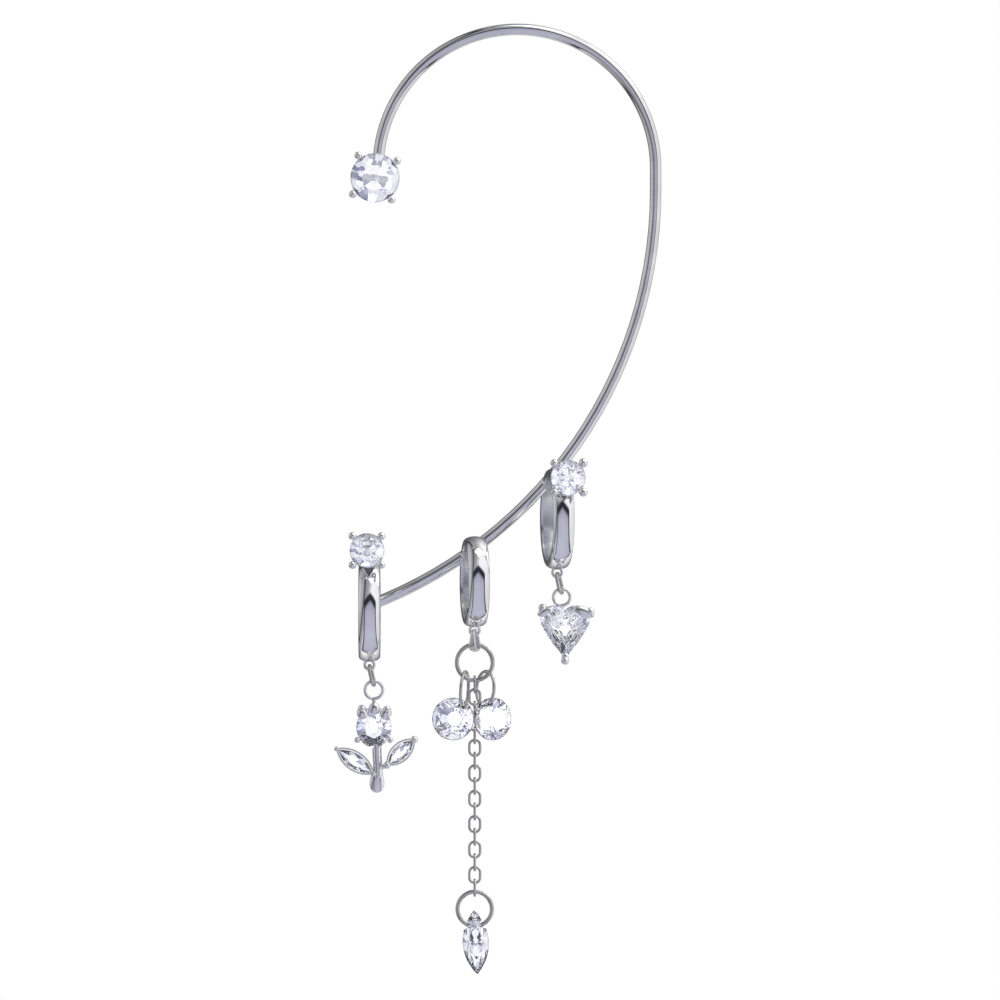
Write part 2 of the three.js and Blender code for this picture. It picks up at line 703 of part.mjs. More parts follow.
// The marquise stone, drilled from side to side, with its hole round the wire at the place given.
function addMarquise(wirePlace) {
  const reach = (lowerRingDiameter - bigRingWire) / 2;
  const inset = marquiseLength / 2 - marquiseHoleInset;
  const outline = marquise(marquiseWidth, marquiseLength);
  const halfWidth = outline(Math.asin((2 * inset) / marquiseLength)).x;
  const bow = (reach - Math.sqrt(reach ** 2 - halfWidth ** 2)) / 2; // how far the bent wire asks the hole up
  const body = cutStone(outline, marquiseWidth * highCrownShare, marquiseWidth * pavilionShare);
  const bore = new THREE.CylinderGeometry(marquiseHole / 2, marquiseHole / 2, 2 * marquiseWidth, wireSides);
  bore.rotateZ(Math.PI / 2).translate(0, 0, inset);
  const stone = addNode("marquise_stone", drilled(body, bore), crystal);
  stone.rotation.y = marquiseTilt * degrees;
  stone.position.copy(vector(0, 0, -inset).applyEuler(stone.rotation)).add(wirePlace).add(vector(0, 0, bow));
}

function addRoundStone(side, stone, ringMiddle) {
  const reach = (upperRingDiameter - bigRingWire) / 2;
  const hour = stone.hour * degrees;
  const carrier = vector(Math.sin(hour), 0, -Math.cos(hour)).multiplyScalar(reach).add(ringMiddle);
  const place = vector(stone.acrossShare, -stone.forwardShare, -stone.fallShare);
  place.multiplyScalar(upperRingDiameter).add(ringMiddle);
  const lean = stone.lean * degrees;
  const inset = roundStoneDiameter / 2 - holeInset;
  const hole = vector(Math.sin(lean), 0, Math.cos(lean)).multiplyScalar(inset);
  const turn = stone.turn * degrees;
  const holePlace = hole.clone().applyAxisAngle(vector(0, 0, 1), turn).add(place);
  const up = carrier.clone().sub(holePlace).normalize();
  const top = carrier.clone().addScaledVector(up, (bigRingWire + stoneRingWire) / 2 + ringPlay);
  const size = top.distanceTo(holePlace) + stoneRingWire;
  const ring = addNode(side + "_stone_ring", wireLoop(stoneRingWire, size, size, ringSteps), steel);
  const through = hang(ring, top, holePlace, sideways(stone.turn - 90));

  const bore = new THREE.CylinderGeometry(stoneHole / 2, stoneHole / 2, roundStoneDiameter, wireSides);
  const slant = through.applyAxisAngle(vector(0, 0, 1), -turn);
  bore.applyQuaternion(new THREE.Quaternion().setFromUnitVectors(vector(0, 1, 0), slant));
  const body = flatStone(ellipse(roundStoneDiameter, roundStoneDiameter), roundStoneDiameter);
  const mesh = addNode(side + "_round_stone", drilled(body, bore.translate(hole.x, 0, hole.z)), crystal);
  mesh.position.copy(place);
  mesh.rotation.z = turn;
}

addNode("ear_wire", solderedFrame(), steel);
addTopAndHoopStones();
addTulip();
addHeart();
addMiddleDrop();

export default cuff;
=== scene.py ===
import math

import bpy
from mathutils import Matrix, Quaternion, Vector


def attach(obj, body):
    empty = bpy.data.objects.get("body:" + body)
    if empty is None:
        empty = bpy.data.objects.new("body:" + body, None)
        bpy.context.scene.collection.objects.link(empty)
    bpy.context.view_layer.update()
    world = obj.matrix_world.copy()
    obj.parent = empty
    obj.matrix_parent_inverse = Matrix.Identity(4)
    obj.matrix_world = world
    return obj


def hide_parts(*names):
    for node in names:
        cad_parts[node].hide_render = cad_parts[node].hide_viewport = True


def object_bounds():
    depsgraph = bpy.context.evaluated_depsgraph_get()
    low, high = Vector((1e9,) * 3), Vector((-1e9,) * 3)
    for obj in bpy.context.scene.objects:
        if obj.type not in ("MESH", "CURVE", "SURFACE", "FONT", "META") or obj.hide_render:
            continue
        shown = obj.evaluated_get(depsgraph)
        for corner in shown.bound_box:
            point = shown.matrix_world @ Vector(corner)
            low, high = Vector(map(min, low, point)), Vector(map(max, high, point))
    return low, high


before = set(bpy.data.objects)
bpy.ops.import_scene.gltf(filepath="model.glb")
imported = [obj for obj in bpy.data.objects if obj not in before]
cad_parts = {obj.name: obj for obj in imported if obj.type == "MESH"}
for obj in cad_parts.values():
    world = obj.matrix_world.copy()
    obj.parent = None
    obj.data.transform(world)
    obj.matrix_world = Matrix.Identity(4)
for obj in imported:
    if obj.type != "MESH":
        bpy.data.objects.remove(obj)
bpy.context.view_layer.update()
mm = 0.001  # pieces are shaped in millimetres and brought to metres when they are finished
up, down = Vector((0, 0, 1)), Vector((0, 0, -1))
front, back = Vector((0, -1, 0)), Vector((0, 1, 0))
print("frame loaded,", len(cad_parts), "nodes")


# Small tools for the bench

def deselectAll():
    if bpy.context.object and bpy.context.object.mode != "OBJECT":
        bpy.ops.object.mode_set(mode="OBJECT")
    bpy.ops.object.select_all(action="DESELECT")


def pick(piece):
    deselectAll()
    piece.select_set(True)
    bpy.context.view_layer.objects.active = piece


def settle(piece):  # moves the object's place into its mesh
    pick(piece)
    bpy.ops.object.transform_apply(location=True, rotation=True, scale=True)
    return piece


def move(piece, matrix):
    piece.matrix_world = matrix @ piece.matrix_world
    return settle(piece)


def tidyMesh(piece, gap=1e-4):
    pick(piece)
    bpy.ops.object.mode_set(mode="EDIT")
    bpy.ops.mesh.select_all(action="SELECT")
    bpy.ops.mesh.remove_doubles(threshold=gap)
    bpy.ops.mesh.normals_make_consistent(inside=False)
    bpy.ops.object.mode_set(mode="OBJECT")
    return piece


def pickPoints(piece, wanted):
    bpy.ops.mesh.select_all(action="DESELECT")
    bpy.ops.object.mode_set(mode="OBJECT")
    for point in piece.data.vertices:
        point.select = wanted(point.co)
    bpy.ops.object.mode_set(mode="EDIT")


def worked(piece, kind, **values):  # adds one modifier and applies it
    pick(piece)
    change = piece.modifiers.new(kind.lower(), kind)
    for key, value in values.items():
        setattr(change, key, value)
    bpy.ops.object.modifier_apply(modifier=change.name)
    return piece


def copyOf(piece, name):
    pick(piece)
    bpy.ops.object.duplicate(linked=False)
    twin = bpy.context.object
    twin.name = name
    return twin


def solder(name, parts):  # one piece of soldered metal
    pick(parts[0])
    for part in parts[1:]:
        part.select_set(True)
    if len(parts) > 1:
        bpy.ops.object.join()
    whole = bpy.context.object
    whole.name = name
    return whole


def finish(piece, look, slot, *nodes, angle=40):
    pick(piece)
    if angle:
        bpy.ops.object.shade_smooth_by_angle(angle=math.radians(angle))
    else:
        bpy.ops.object.shade_flat()
    piece.scale = (mm, mm, mm)
    settle(piece)
    piece.data.materials.clear()
    piece.data.materials.append(look)
    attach(piece, "root")
    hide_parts(*nodes)
    return piece


def turnTo(way):
    return way.to_track_quat("Z", "Y").to_euler()


# Bends round wire as a hand does: moves are ("run", length) or ("bend", angle, radius, towards).
def bentWire(start, way, thick, moves, sides=16, closed=False, fine=9):
    deselectAll()
    place, way = Vector(start), Vector(way).normalized()
    bpy.ops.mesh.primitive_circle_add(
        vertices=sides, radius=thick / 2, fill_type="NOTHING", location=place, rotation=turnTo(way))
    wire = settle(bpy.context.object)
    bpy.ops.object.mode_set(mode="EDIT")
    bpy.ops.mesh.select_all(action="SELECT")
    for kind, amount, *rest in moves:
        if kind == "run":
            bpy.ops.mesh.extrude_edges_move(TRANSFORM_OT_translate={"value": way * amount})
            place = place + way * amount
        else:
            towards = Vector(rest[1]).normalized()
            centre, axis = place + towards * rest[0], way.cross(towards)
            steps = max(3, round(amount / fine))
            bpy.ops.mesh.spin(steps=steps, angle=-math.radians(amount), center=centre, axis=axis)
            swing = Quaternion(axis, math.radians(amount))
            place = centre + swing @ (place - centre)
            way = swing @ way
    if not closed:
        bpy.ops.mesh.select_all(action="SELECT")
        bpy.ops.mesh.fill_holes(sides=0)
    bpy.ops.object.mode_set(mode="OBJECT")
    return tidyMesh(wire, 1e-3)


def straightWire(fromPoint, toPoint, thick, endThick=None, sides=12):
    deselectAll()
    span = toPoint - fromPoint
    bpy.ops.mesh.primitive_cone_add(
        vertices=sides, radius1=thick / 2, radius2=(endThick or thick) / 2, depth=span.length,
        location=(fromPoint + toPoint) / 2, rotation=turnTo(span))
    return settle(bpy.context.object)


def ball(place, size, segments=20):
    deselectAll()
    bpy.ops.mesh.primitive_uv_sphere_add(
        segments=segments, ring_count=segments // 2 + 1, radius=size / 2, location=place)
    return settle(bpy.context.object)


# A closed loop of round wire in the X-Z plane round the origin.
def wireLoop(wire, length, width, sides=12, fine=9):
    half, reach = (width - wire) / 2, (length - width) / 2
    legs = [("run", 2 * reach)] if reach > 0.01 else []
    moves = legs + [("bend", 180, half, (-1, 0, 0))] + legs + [("bend", 180, half, (1, 0, 0))]
    return bentWire((half, 0, -reach), up, wire, moves, sides, True, fine)


# Brings a loop that was drawn round the origin to where it hangs, with its breadth along across.
def hang(piece, top, bottom, across):
    way = (top - bottom).normalized()
    side = (across - way * across.dot(way)).normalized()
    turned = Matrix((side, way.cross(side), way)).transposed().to_4x4()
    move(piece, Matrix.Translation((top + bottom) / 2) @ turned)
    return side


def sideways(turn):
    return Vector((math.cos(math.radians(turn)), math.sin(math.radians(turn)), 0))


def restOn(height, wireAbove, wireBelow, play):
    return height + (wireAbove + wireBelow) / 2 + play


# Looks of steel and stone

def newGroup(name, inputs, outputs):
    group = bpy.data.node_groups.new(name, "ShaderNodeTree")
    for socket, kind, value in inputs:
        made = group.interface.new_socket(socket, in_out="INPUT", socket_type=kind)
        made.default_value = value
    for socket, kind in outputs:
        group.interface.new_socket(socket, in_out="OUTPUT", socket_type=kind)
    return group, group.nodes.new("NodeGroupInput"), group.nodes.new("NodeGroupOutput")


def addNode(tree, kind, **values):
    node = tree.nodes.new("ShaderNode" + kind)
    for key, value in values.items():
        if hasattr(node, key):
            setattr(node, key, value)
        else:
            node.inputs[key].default_value = value
    return node


def feed(tree, socket, value):  # with a link or a constant
    if isinstance(value, bpy.types.NodeSocket):
        tree.links.new(value, socket)
    else:
        socket.default_value = value


def work(tree, operation, *values):
    node = addNode(tree, "Math", operation=operation)
    for socket, value in zip(node.inputs, values):
        feed(tree, socket, value)
    return node.outputs[0]


def mapped(tree, value, low, high, toLow=0.0, toHigh=1.0):
    node = addNode(tree, "MapRange")
    for socket, given in zip(node.inputs, (value, low, high, toLow, toHigh)):
        feed(tree, socket, given)
    return node.outputs["Result"]


def shadeRamp(tree, value, low, high, stops):
    ramp = addNode(tree, "ValToRGB")
    tree.links.new(mapped(tree, value, low, high), ramp.inputs["Fac"])
    for i, (at, shade) in enumerate(stops):
        stop = ramp.color_ramp.elements[i] if i < 2 else ramp.color_ramp.elements.new(1.0)
        stop.position, stop.color = (at - low) / (high - low), (*shade, 1)
    return ramp.outputs["Color"]


def mixShades(tree, blend, share, first, second):
    mixed = addNode(tree, "MixRGB", blend_type=blend)
    for socket, value in (("Fac", share), ("Color1", first), ("Color2", second)):
        feed(tree, mixed.inputs[socket], value)
    return mixed.outputs["Color"]


steelTone = [(0.3, (0.78, 0.78, 0.8)), (0.7, (0.9, 0.9, 0.91))]
# painted reflection and shade on the clear stones: facet tones, greyed leaning facets and a dark girdle
# outline
paintedStoneTone = {
    "facets": [(0.36, (0.68, 0.7, 0.84)), (0.41, (0.86, 0.88, 0.95)), (0.48, (1, 1, 1))],
    "steep": [  # painted shade: how grey a facet is, by how far it leans away from the front
        (-0.81, (0, 0, 0)), (-0.79, (0.6, 0.6, 0.6)), (-0.58, (0.6, 0.6, 0.6)), (-0.5, (0, 0, 0)),
    ],
    "grey": (0.42, 0.43, 0.5, 1), "line": (0.07, 0.07, 0.09, 1),
}


# Hand polish: faint wheel marks, soft waves in the surface and slightly dull patches.
def makePolishGroup():
    group, inside, outside = newGroup(
        "handPolish",
        [("Marks per metre", "NodeSocketFloat", 2600.0), ("Dull", "NodeSocketFloat", 0.1),
         ("Wave", "NodeSocketFloat", 0.04), ("Shade", "NodeSocketColor", (1, 1, 1, 1))],
        [("Tone", "NodeSocketColor"), ("Roughness", "NodeSocketFloat"), ("Normal", "NodeSocketVector")])
    link = group.links.new
    place = addNode(group, "TexCoord")
    stretch = addNode(group, "Mapping", Scale=(1.0, 1.0, 0.16))
    marks = addNode(group, "TexNoise", Detail=3.0, Roughness=0.62)
    patches = addNode(group, "TexNoise", Scale=420.0, Detail=2.0)
    link(place.outputs["Object"], stretch.inputs["Vector"])
    link(stretch.outputs["Vector"], marks.inputs["Vector"])
    link(inside.outputs["Marks per metre"], marks.inputs["Scale"])
    link(place.outputs["Object"], patches.inputs["Vector"])
    mixed = work(group, "MULTIPLY_ADD", marks.outputs["Fac"], 0.5, patches.outputs["Fac"])
    tone = shadeRamp(group, patches.outputs["Fac"], 0, 1, steelTone)
    bump = addNode(group, "Bump", Distance=0.00002)
    link(inside.outputs["Wave"], bump.inputs["Strength"])
    link(mixed, bump.inputs["Height"])
    link(mixShades(group, "MULTIPLY", 1.0, tone, inside.outputs["Shade"]), outside.inputs["Tone"])
    link(work(group, "MULTIPLY", mixed, inside.outputs["Dull"]), outside.inputs["Roughness"])
    link(bump.outputs["Normal"], outside.inputs["Normal"])
    return group


# Painted facet reflections: each facet of a stone faces its own way, so its normal picks a painted tone,
# from lavender grey to white, that stands in for what the facet reflects.
def makeFacetGroup():
    group, inside, outside = newGroup(
        "paintedFacetTones",
        [("Spread", "NodeSocketFloat", 9.0), ("Line", "NodeSocketFloat", 1.0)],
        [("Tone", "NodeSocketColor"), ("Roughness", "NodeSocketFloat")])
    link = group.links.new
    place, apart = addNode(group, "TexCoord"), addNode(group, "SeparateXYZ")
    pattern = addNode(group, "TexNoise", Detail=0.0)
    dust = addNode(group, "TexNoise", Scale=900.0, Detail=2.0)
    rim = addNode(group, "Attribute", attribute_name="rim")
    link(place.outputs["Normal"], pattern.inputs["Vector"])
    link(inside.outputs["Spread"], pattern.inputs["Scale"])
    link(place.outputs["Normal"], apart.inputs[0])
    link(place.outputs["Object"], dust.inputs["Vector"])
    # painted reflection: a lavender grey to white tone picked by the facet's normal
    tone = shadeRamp(group, pattern.outputs["Fac"], 0, 1, paintedStoneTone["facets"])
    # painted shade: the facets that lean away from the front are mixed towards grey
    steep = shadeRamp(group, apart.outputs["Y"], -1, 0, paintedStoneTone["steep"])
    tone = mixShades(group, "MIX", steep, tone, paintedStoneTone["grey"])
    line = mapped(group, rim.outputs["Fac"], 0.72, 0.95, 0.0, inside.outputs["Line"])
    tone = mixShades(group, "MIX", line, tone, paintedStoneTone["line"])  # painted dark outline where facets meet the girdle
    link(tone, outside.inputs["Tone"])
    link(mapped(group, dust.outputs["Fac"], 0, 1, 0.0, 0.03), outside.inputs["Roughness"])
    return group


handPolish, paintedFacetTones = makePolishGroup(), makeFacetGroup()


def makeLook(name, group, shaderValues, groupValues):
    look = bpy.data.materials.new(name)
    look.use_nodes = True
    tree, shader = look.node_tree, look.node_tree.nodes["Principled BSDF"]
    for socket, value in shaderValues.items():
        shader.inputs[socket].default_value = value
    placed = tree.nodes.new("ShaderNodeGroup")
    placed.node_tree = group
    for socket, value in groupValues.items():
        placed.inputs[socket].default_value = value
    for made, used in (("Tone", "Base Color"), ("Roughness", "Roughness"), ("Normal", "Normal")):
        if made in placed.outputs:
            tree.links.new(placed.outputs[made], shader.inputs[used])
    return look


def steelLook(name, marks, dull, wave, shade=(1, 1, 1)):
    values = {"Marks per metre": marks, "Dull": dull, "Wave": wave, "Shade": (*shade, 1)}
    return makeLook(name, handPolish, {"Metallic": 1.0}, values)


def stoneLook(name, spread, clarity, bend, line):
    values = {"Spread": spread, "Line": line}
    return makeLook(name, paintedFacetTones, {"IOR": bend, "Transmission Weight": clarity}, values)


wireSteel = steelLook("wireSteel", 2600, 0.1, 0.02, (0.92, 0.91, 0.895))
hoopSteel = steelLook("hoopSteel", 1500, 0.06, 0.02)
innerSteel = steelLook("innerSteel", 1500, 0.35, 0.03, (0.95, 0.95, 0.95))
castSteel = steelLook("castSteel", 3600, 0.26, 0.1, (1.08, 1.07, 1.06))
chainSteel = steelLook("chainSteel", 5200, 0.22, 0.08, (0.71, 0.69, 0.66))
# each stone look's last value is the strength of its painted dark girdle outline
clearStone = stoneLook("clearStone", 7.0, 0.94, 1.8, 0.8)
flowerCrystal = stoneLook("flowerCrystal", 7.0, 0.95, 1.6, 0.3)
drilledStone = stoneLook("drilledStone", 9.0, 0.95, 1.65, 1.0)
print("looks ready")


# How a stone is cut

stoneCut = {  # the crown is a share of the stone's width, the girdle is in millimetres
    "crown": 0.16, "girdle": 0.12, "block": 1.3,
    "crownTiers": {  # from and to are (share of the outline, share of the depth)
        "bezel": {"every": 1, "offset": 0.0, "from": (1, 0), "to": (0.56, 1)},
        "upperGirdle": {"every": 2, "offset": 0.25, "from": (1, 0), "to": (0.8, 0.5)},
        "star": {"every": 1, "offset": 0.5, "from": (0.517, 1), "to": (0.75, 0.62)},
    },
    "pavilionTiers": {
        "main": {"every": 1, "offset": 0.0, "from": (1, 0), "to": (0, 1)},
        "lowerGirdle": {"every": 2, "offset": 0.25, "from": (1, 0), "to": (0.3, 0.745)},
    },
}


def cutAway(point, normal, fill=True):
    bpy.ops.mesh.select_all(action="SELECT")
    bpy.ops.mesh.bisect(
        plane_co=point, plane_no=normal, use_fill=fill, clear_outer=True, threshold=1e-5)


# Cuts a stone out of a block, table towards +Z. outline(share) gives a point and the way out there.
def cutStone(outline, width, height, crown, pavilion, mains=8, outlineCuts=32, half=False):
    deselectAll()
    girdle = stoneCut["girdle"] / 2
    bpy.ops.mesh.primitive_cube_add(size=1, location=(0, 0, (crown - pavilion) / 2))
    stone = bpy.context.object
    block = stoneCut["block"]
    stone.scale = (width * block, height * block, crown + pavilion + 4 * girdle)
    settle(stone)
    bpy.ops.object.mode_set(mode="EDIT")
    for i in range(outlineCuts):
        point, way = outline((i + 0.5) / outlineCuts)
        cutAway((point.x, point.y, 0), (way.x, way.y, 0))
    cutAway((0, 0, crown + girdle), up)
    for tiers, depth, face in (("crownTiers", crown, 1), ("pavilionTiers", pavilion, -1)):
        for tier in stoneCut[tiers].values():
            count = mains * tier["every"]
            for i in range(count):
                share = ((i + tier["offset"] * tier["every"]) / count) % 1
                point, way = outline(share)
                (startSpread, startRise), (endSpread, endRise) = tier["from"], tier["to"]
                run = point.dot(way) * (startSpread - endSpread)
                rise = depth * (endRise - startRise)
                start = point * startSpread
                level = face * (girdle + depth * startRise)
                normal = Vector((way.x * rise, way.y * rise, face * run))
                if run < 0:
                    normal = -normal
                cutAway((start.x, start.y, level), normal)
    if half:
        cutAway((0, 0, 0), (-1, 0, 0), fill=False)
    bpy.ops.object.mode_set(mode="OBJECT")
    tidyMesh(stone, 1e-3)
    # marks the girdle, where the painted dark outline goes
    rim = stone.data.attributes.new("rim", "FLOAT", "POINT")
    for point, mark in zip(stone.data.vertices, rim.data):
        mark.value = float(abs(point.co.z) < stoneCut["girdle"])
    return stone


def roundOutline(width, height):
    def outline(share):
        turn = share * 2 * math.pi
        point = Vector((math.cos(turn) * width / 2, math.sin(turn) * height / 2))
        way = Vector((math.cos(turn) / width, math.sin(turn) / height)).normalized()
        return point, way
    return outline


def marquiseOutline(width, length):
    bow = (length ** 2 + width ** 2) / (4 * width)
    reach = math.asin(length / 2 / bow)

    def outline(share):
        side = 1 if share < 0.25 or share >= 0.75 else -1
        turn = ((share + 0.25) % 0.5 - 0.25) * 4 * reach
        way = Vector((side * math.cos(turn), side * math.sin(turn)))
        return Vector((side * (width / 2 - bow), 0)) + way * bow, way
    return outline


def heartOutline(width, height):  # half a heart, from the cleft round the lobe to the tip
    lobe = heart["lobe"]
    middle = Vector((width / 2 - lobe, height / 2 - lobe))
    cleft, low = math.acos(-middle.x / lobe), math.radians(heart["lobeFoot"])
    shoulder = middle + Vector((math.cos(low), math.sin(low))) * lobe
    tip = Vector((0, -height / 2))
    along, lobeShare = tip - shoulder, heart["lobeShare"]
    flank = math.atan2(along.x, -along.y)

    def outline(share):
        if share < lobeShare:
            turn = cleft + (low - cleft) * share / lobeShare
            way = Vector((math.cos(turn), math.sin(turn)))
            return middle + way * lobe, way
        part = (share - lobeShare) / (1 - lobeShare)
        turn = flank + math.radians(heart["flankTurn"] * (1 - 2 * part))
        way = Vector((math.cos(turn), math.sin(turn)))
        return shoulder.lerp(tip, part) + way * heart["flankBow"] * math.sin(part * math.pi), way
    return outline


tableToFront = Matrix.Rotation(math.radians(90), 4, "X")


def drill(stone, start, end, size):
    rod = straightWire(start, end, size, sides=32)
    worked(stone, "BOOLEAN", operation="DIFFERENCE", object=rod, solver="EXACT")
    bpy.data.objects.remove(rod)
    return stone


# The wire and its hoops

wireShape = {
    "thick": 1.15, "bow": 13.9, "frontDrop": 1.05, "backDrop": 2.3,
    "tailRadius": 44.4, "tailSweep": 69.7,
}
hoopShape = {
    "breadth": 2.15, "wall": 0.95, "dome": 0.5, "innerBreadth": 0.97, "innerDome": 0.12, "solder": 0.25,
    "eye": 1.24, "eyeWire": 0.28, "eyeDrop": 0.3,
    "left": {"along": 69.2, "size": 10.1, "seat": 6, "turn": 0},
    "middle": {"along": 54.4, "size": 9.1, "seat": 38.6, "turn": 6.5},
    "right": {"along": 39.9, "size": 10.2, "seat": 53.2, "turn": 8.2},
}
claws = {  # a stone's claws and the foot that they stand on
    "wire": 0.46, "tip": 0.78, "gap": 0.08, "footHeight": 0.6, "foot": 1.7, "pavilion": 0.42,
    "postTop": 1.36, "postFoot": 1.53, "apronDepth": 1.6, "apronLean": 15,
    "top": {"stone": 4.9, "turn": 8, "across": -0.3},
    "left": {
        "stone": 3.45, "rise": 1.2, "forward": 0.72, "across": -0.04,
        "apron": 1.6, "apronRise": 0.79, "apronOut": 0.6, "tips": {},
    },
    "right": {
        "stone": 3.5, "rise": 0.8, "forward": 0.97, "across": 0.07,
        "apron": 1.1, "apronRise": 0.4, "apronOut": 0.12, "tips": {45: 0.92, 315: 0.88},
    },
}
bowMiddle = Vector((0, 0, wireShape["thick"] / 2 - wireShape["bow"]))
tailMiddle = bowMiddle + Vector((wireShape["bow"] - wireShape["tailRadius"], 0, -wireShape["backDrop"]))


def tailPoint(sweep):
    turn = math.radians(sweep)
    return tailMiddle + Vector((math.cos(turn), 0, -math.sin(turn))) * wireShape["tailRadius"]


def hoopFrame(side):
    hoop = hoopShape[side]
    seat = math.radians(hoop["seat"])
    reach = (hoop["size"] + wireShape["thick"]) / 2 - hoopShape["solder"]
    turned = Matrix.Rotation(math.radians(hoop["turn"]), 4, "Z")
    toWire = turned @ Vector((0, math.cos(seat), math.sin(seat))) * reach
    return Matrix.Translation(tailPoint(hoop["along"]) - toWire) @ turned


def settingDepth(stone):
    return stone * claws["pavilion"] + stoneCut["girdle"] / 2 + claws["gap"] + claws["footHeight"]


def makeEarWire():
    start = bowMiddle + Vector((-wireShape["bow"], 0, -wireShape["frontDrop"]))
    moves = [
        ("run", wireShape["frontDrop"]), ("bend", 180, wireShape["bow"], (1, 0, 0)),
        ("run", wireShape["backDrop"]),
        ("bend", wireShape["tailSweep"], wireShape["tailRadius"], (-1, 0, 0)),
    ]
    wire = bentWire(start, up, wireShape["thick"], moves, sides=24, fine=2.5)
    return solder("earWire", [wire, ball(tailPoint(wireShape["tailSweep"]), wireShape["thick"] * 0.98, 24)])


# A band with a domed outside, spun round the X axis from its cross-section.
def makeBand(size):
    deselectAll()
    middle = -size / 2 + hoopShape["dome"]
    bpy.ops.mesh.primitive_circle_add(
        vertices=28, radius=1, fill_type="NOTHING", location=(0, 0, middle), rotation=(math.pi / 2, 0, 0))
    band = settle(bpy.context.object)
    bpy.ops.object.mode_set(mode="EDIT")
    bpy.ops.mesh.select_all(action="SELECT")
    bpy.ops.transform.resize(
        value=(hoopShape["breadth"] / 2, 1, hoopShape["dome"]), center_override=(0, 0, middle))
    pickPoints(band, lambda p: p.z > middle + 1e-4)  # the inside of the band is nearly flat
    bpy.ops.transform.resize(
        value=(hoopShape["innerBreadth"], 1, hoopShape["innerDome"]), center_override=(0, 0, middle))
    lift = hoopShape["wall"] - hoopShape["dome"] * (1 + hoopShape["innerDome"])
    bpy.ops.transform.translate(value=(0, 0, lift))
    bpy.ops.mesh.select_all(action="SELECT")
    bpy.ops.mesh.spin(steps=96, angle=2 * math.pi, center=(0, 0, 0), axis=(1, 0, 0))
    bpy.ops.object.mode_set(mode="OBJECT")
    return tidyMesh(band, 1e-3)


def makeEye(size):
    eye = wireLoop(hoopShape["eyeWire"], hoopShape["eye"], hoopShape["eye"], 12, 12)
    return move(eye, Matrix.Translation((0, 0, -size / 2 - hoopShape["eyeDrop"])))


# A claw from its foot, past the stone's rim, to a ball over the crown.
def makeClaw(place, foot, wire, tip):
    gap, girdle = claws["gap"], stoneCut["girdle"]
    lift = math.sqrt((tip / 2 + gap) ** 2 - (wire / 2 + gap) ** 2) + girdle / 2
    end = Vector((place.x, -lift, place.y))
    knee = Vector((place.x, (girdle + wire) / 2, place.y))
    return [
        straightWire(foot, knee, wire * 1.1, wire), straightWire(knee, end, wire),
        ball(knee, wire * 1.005, 12), ball(end, tip),
    ]


def clawPlace(outline, angle, wire):
    point, way = outline((angle / 360) % 1)
    return point + way * (wire / 2 + claws["gap"])


def makeRoundSetting(stone, tips):
    depth = stone * claws["pavilion"] + stoneCut["girdle"] / 2 + claws["gap"]
    deselectAll()
    bpy.ops.mesh.primitive_cylinder_add(
        vertices=32, radius=claws["foot"] / 2, depth=claws["footHeight"],
        location=(0, depth + claws["footHeight"] / 2, 0), rotation=(math.pi / 2, 0, 0))
    parts = [worked(settle(bpy.context.object), "BEVEL", width=0.12, segments=3)]
    for angle in (45, 135, 225, 315):
        place = clawPlace(roundOutline(stone, stone), angle, claws["wire"])
        root = place.normalized() * (claws["foot"] - claws["wire"]) / 2
        seat = Vector((root.x, depth + claws["footHeight"] / 2, root.y))
        parts += makeClaw(place, seat, claws["wire"], tips.get(angle, claws["tip"]))
    return parts


# The pointed apron that fills the corner between a setting's foot and the band.
def makeApron(radius, held):
    deselectAll()
    lean = math.radians(claws["apronLean"])
    height = radius * held["apronRise"]
    deep = math.sqrt(radius ** 2 - height ** 2) - claws["apronDepth"] / 2 + held["apronOut"]
    bpy.ops.mesh.primitive_cylinder_add(
        vertices=3, radius=held["apron"] / math.sqrt(3), depth=claws["apronDepth"],
        location=(0, -deep, height), rotation=(math.pi / 2 + lean, math.pi, 0))
    return worked(settle(bpy.context.object), "BEVEL", width=0.05, segments=1)


finish(makeEarWire(), wireSteel, "steel", "ear_wire")
topPlace = bowMiddle + Vector((
    claws["top"]["across"] - wireShape["bow"],
    hoopShape["solder"] - wireShape["thick"] / 2 - settingDepth(claws["top"]["stone"]),
    -wireShape["frontDrop"]))
topFrame = Matrix.Translation(topPlace) @ Matrix.Rotation(math.radians(claws["top"]["turn"]), 4, "Y")
topSetting = move(solder("topSetting", makeRoundSetting(claws["top"]["stone"], {})), topFrame)
finish(topSetting, castSteel, "steel", "ear_wire")
stoneFrames = {"top": topFrame}
for side in ("left", "middle", "right"):
    hoop = hoopShape[side]
    band = solder(side + "Hoop", [makeBand(hoop["size"]), makeEye(hoop["size"])])
    inner = hoop["size"] / 2 - hoopShape["wall"] + 0.12
    inside = [face.index for face in band.data.polygons if math.hypot(face.center.y, face.center.z) < inner]
    finish(move(band, hoopFrame(side)), hoopSteel, "steel", "ear_wire")
    band.data.materials.append(innerSteel)
    for i in inside:
        band.data.polygons[i].material_index = 1
    if side in claws:
        held = claws[side]
        place = Vector((held["across"], -held["forward"], held["rise"])) * hoop["size"] / 2
        stoneFrames[side] = hoopFrame(side) @ Matrix.Translation(place)
        parts = makeRoundSetting(held["stone"], held["tips"])
        setting = move(solder(side + "Setting", parts), Matrix.Translation(place))
        foot = place + back * (settingDepth(held["stone"]) - claws["footHeight"] / 2)
        seat = foot.normalized() * (hoop["size"] / 2 - hoopShape["wall"] / 2)
        seat.x = foot.x
        post = straightWire(foot, seat, claws["postTop"], claws["postFoot"], 24)
        setting = solder(side + "Setting", [setting, post, makeApron(hoop["size"] / 2, held)])
        finish(move(setting, hoopFrame(side)), castSteel, "steel", "ear_wire")
print("wire, hoops and settings done")


# Round stones in the settings

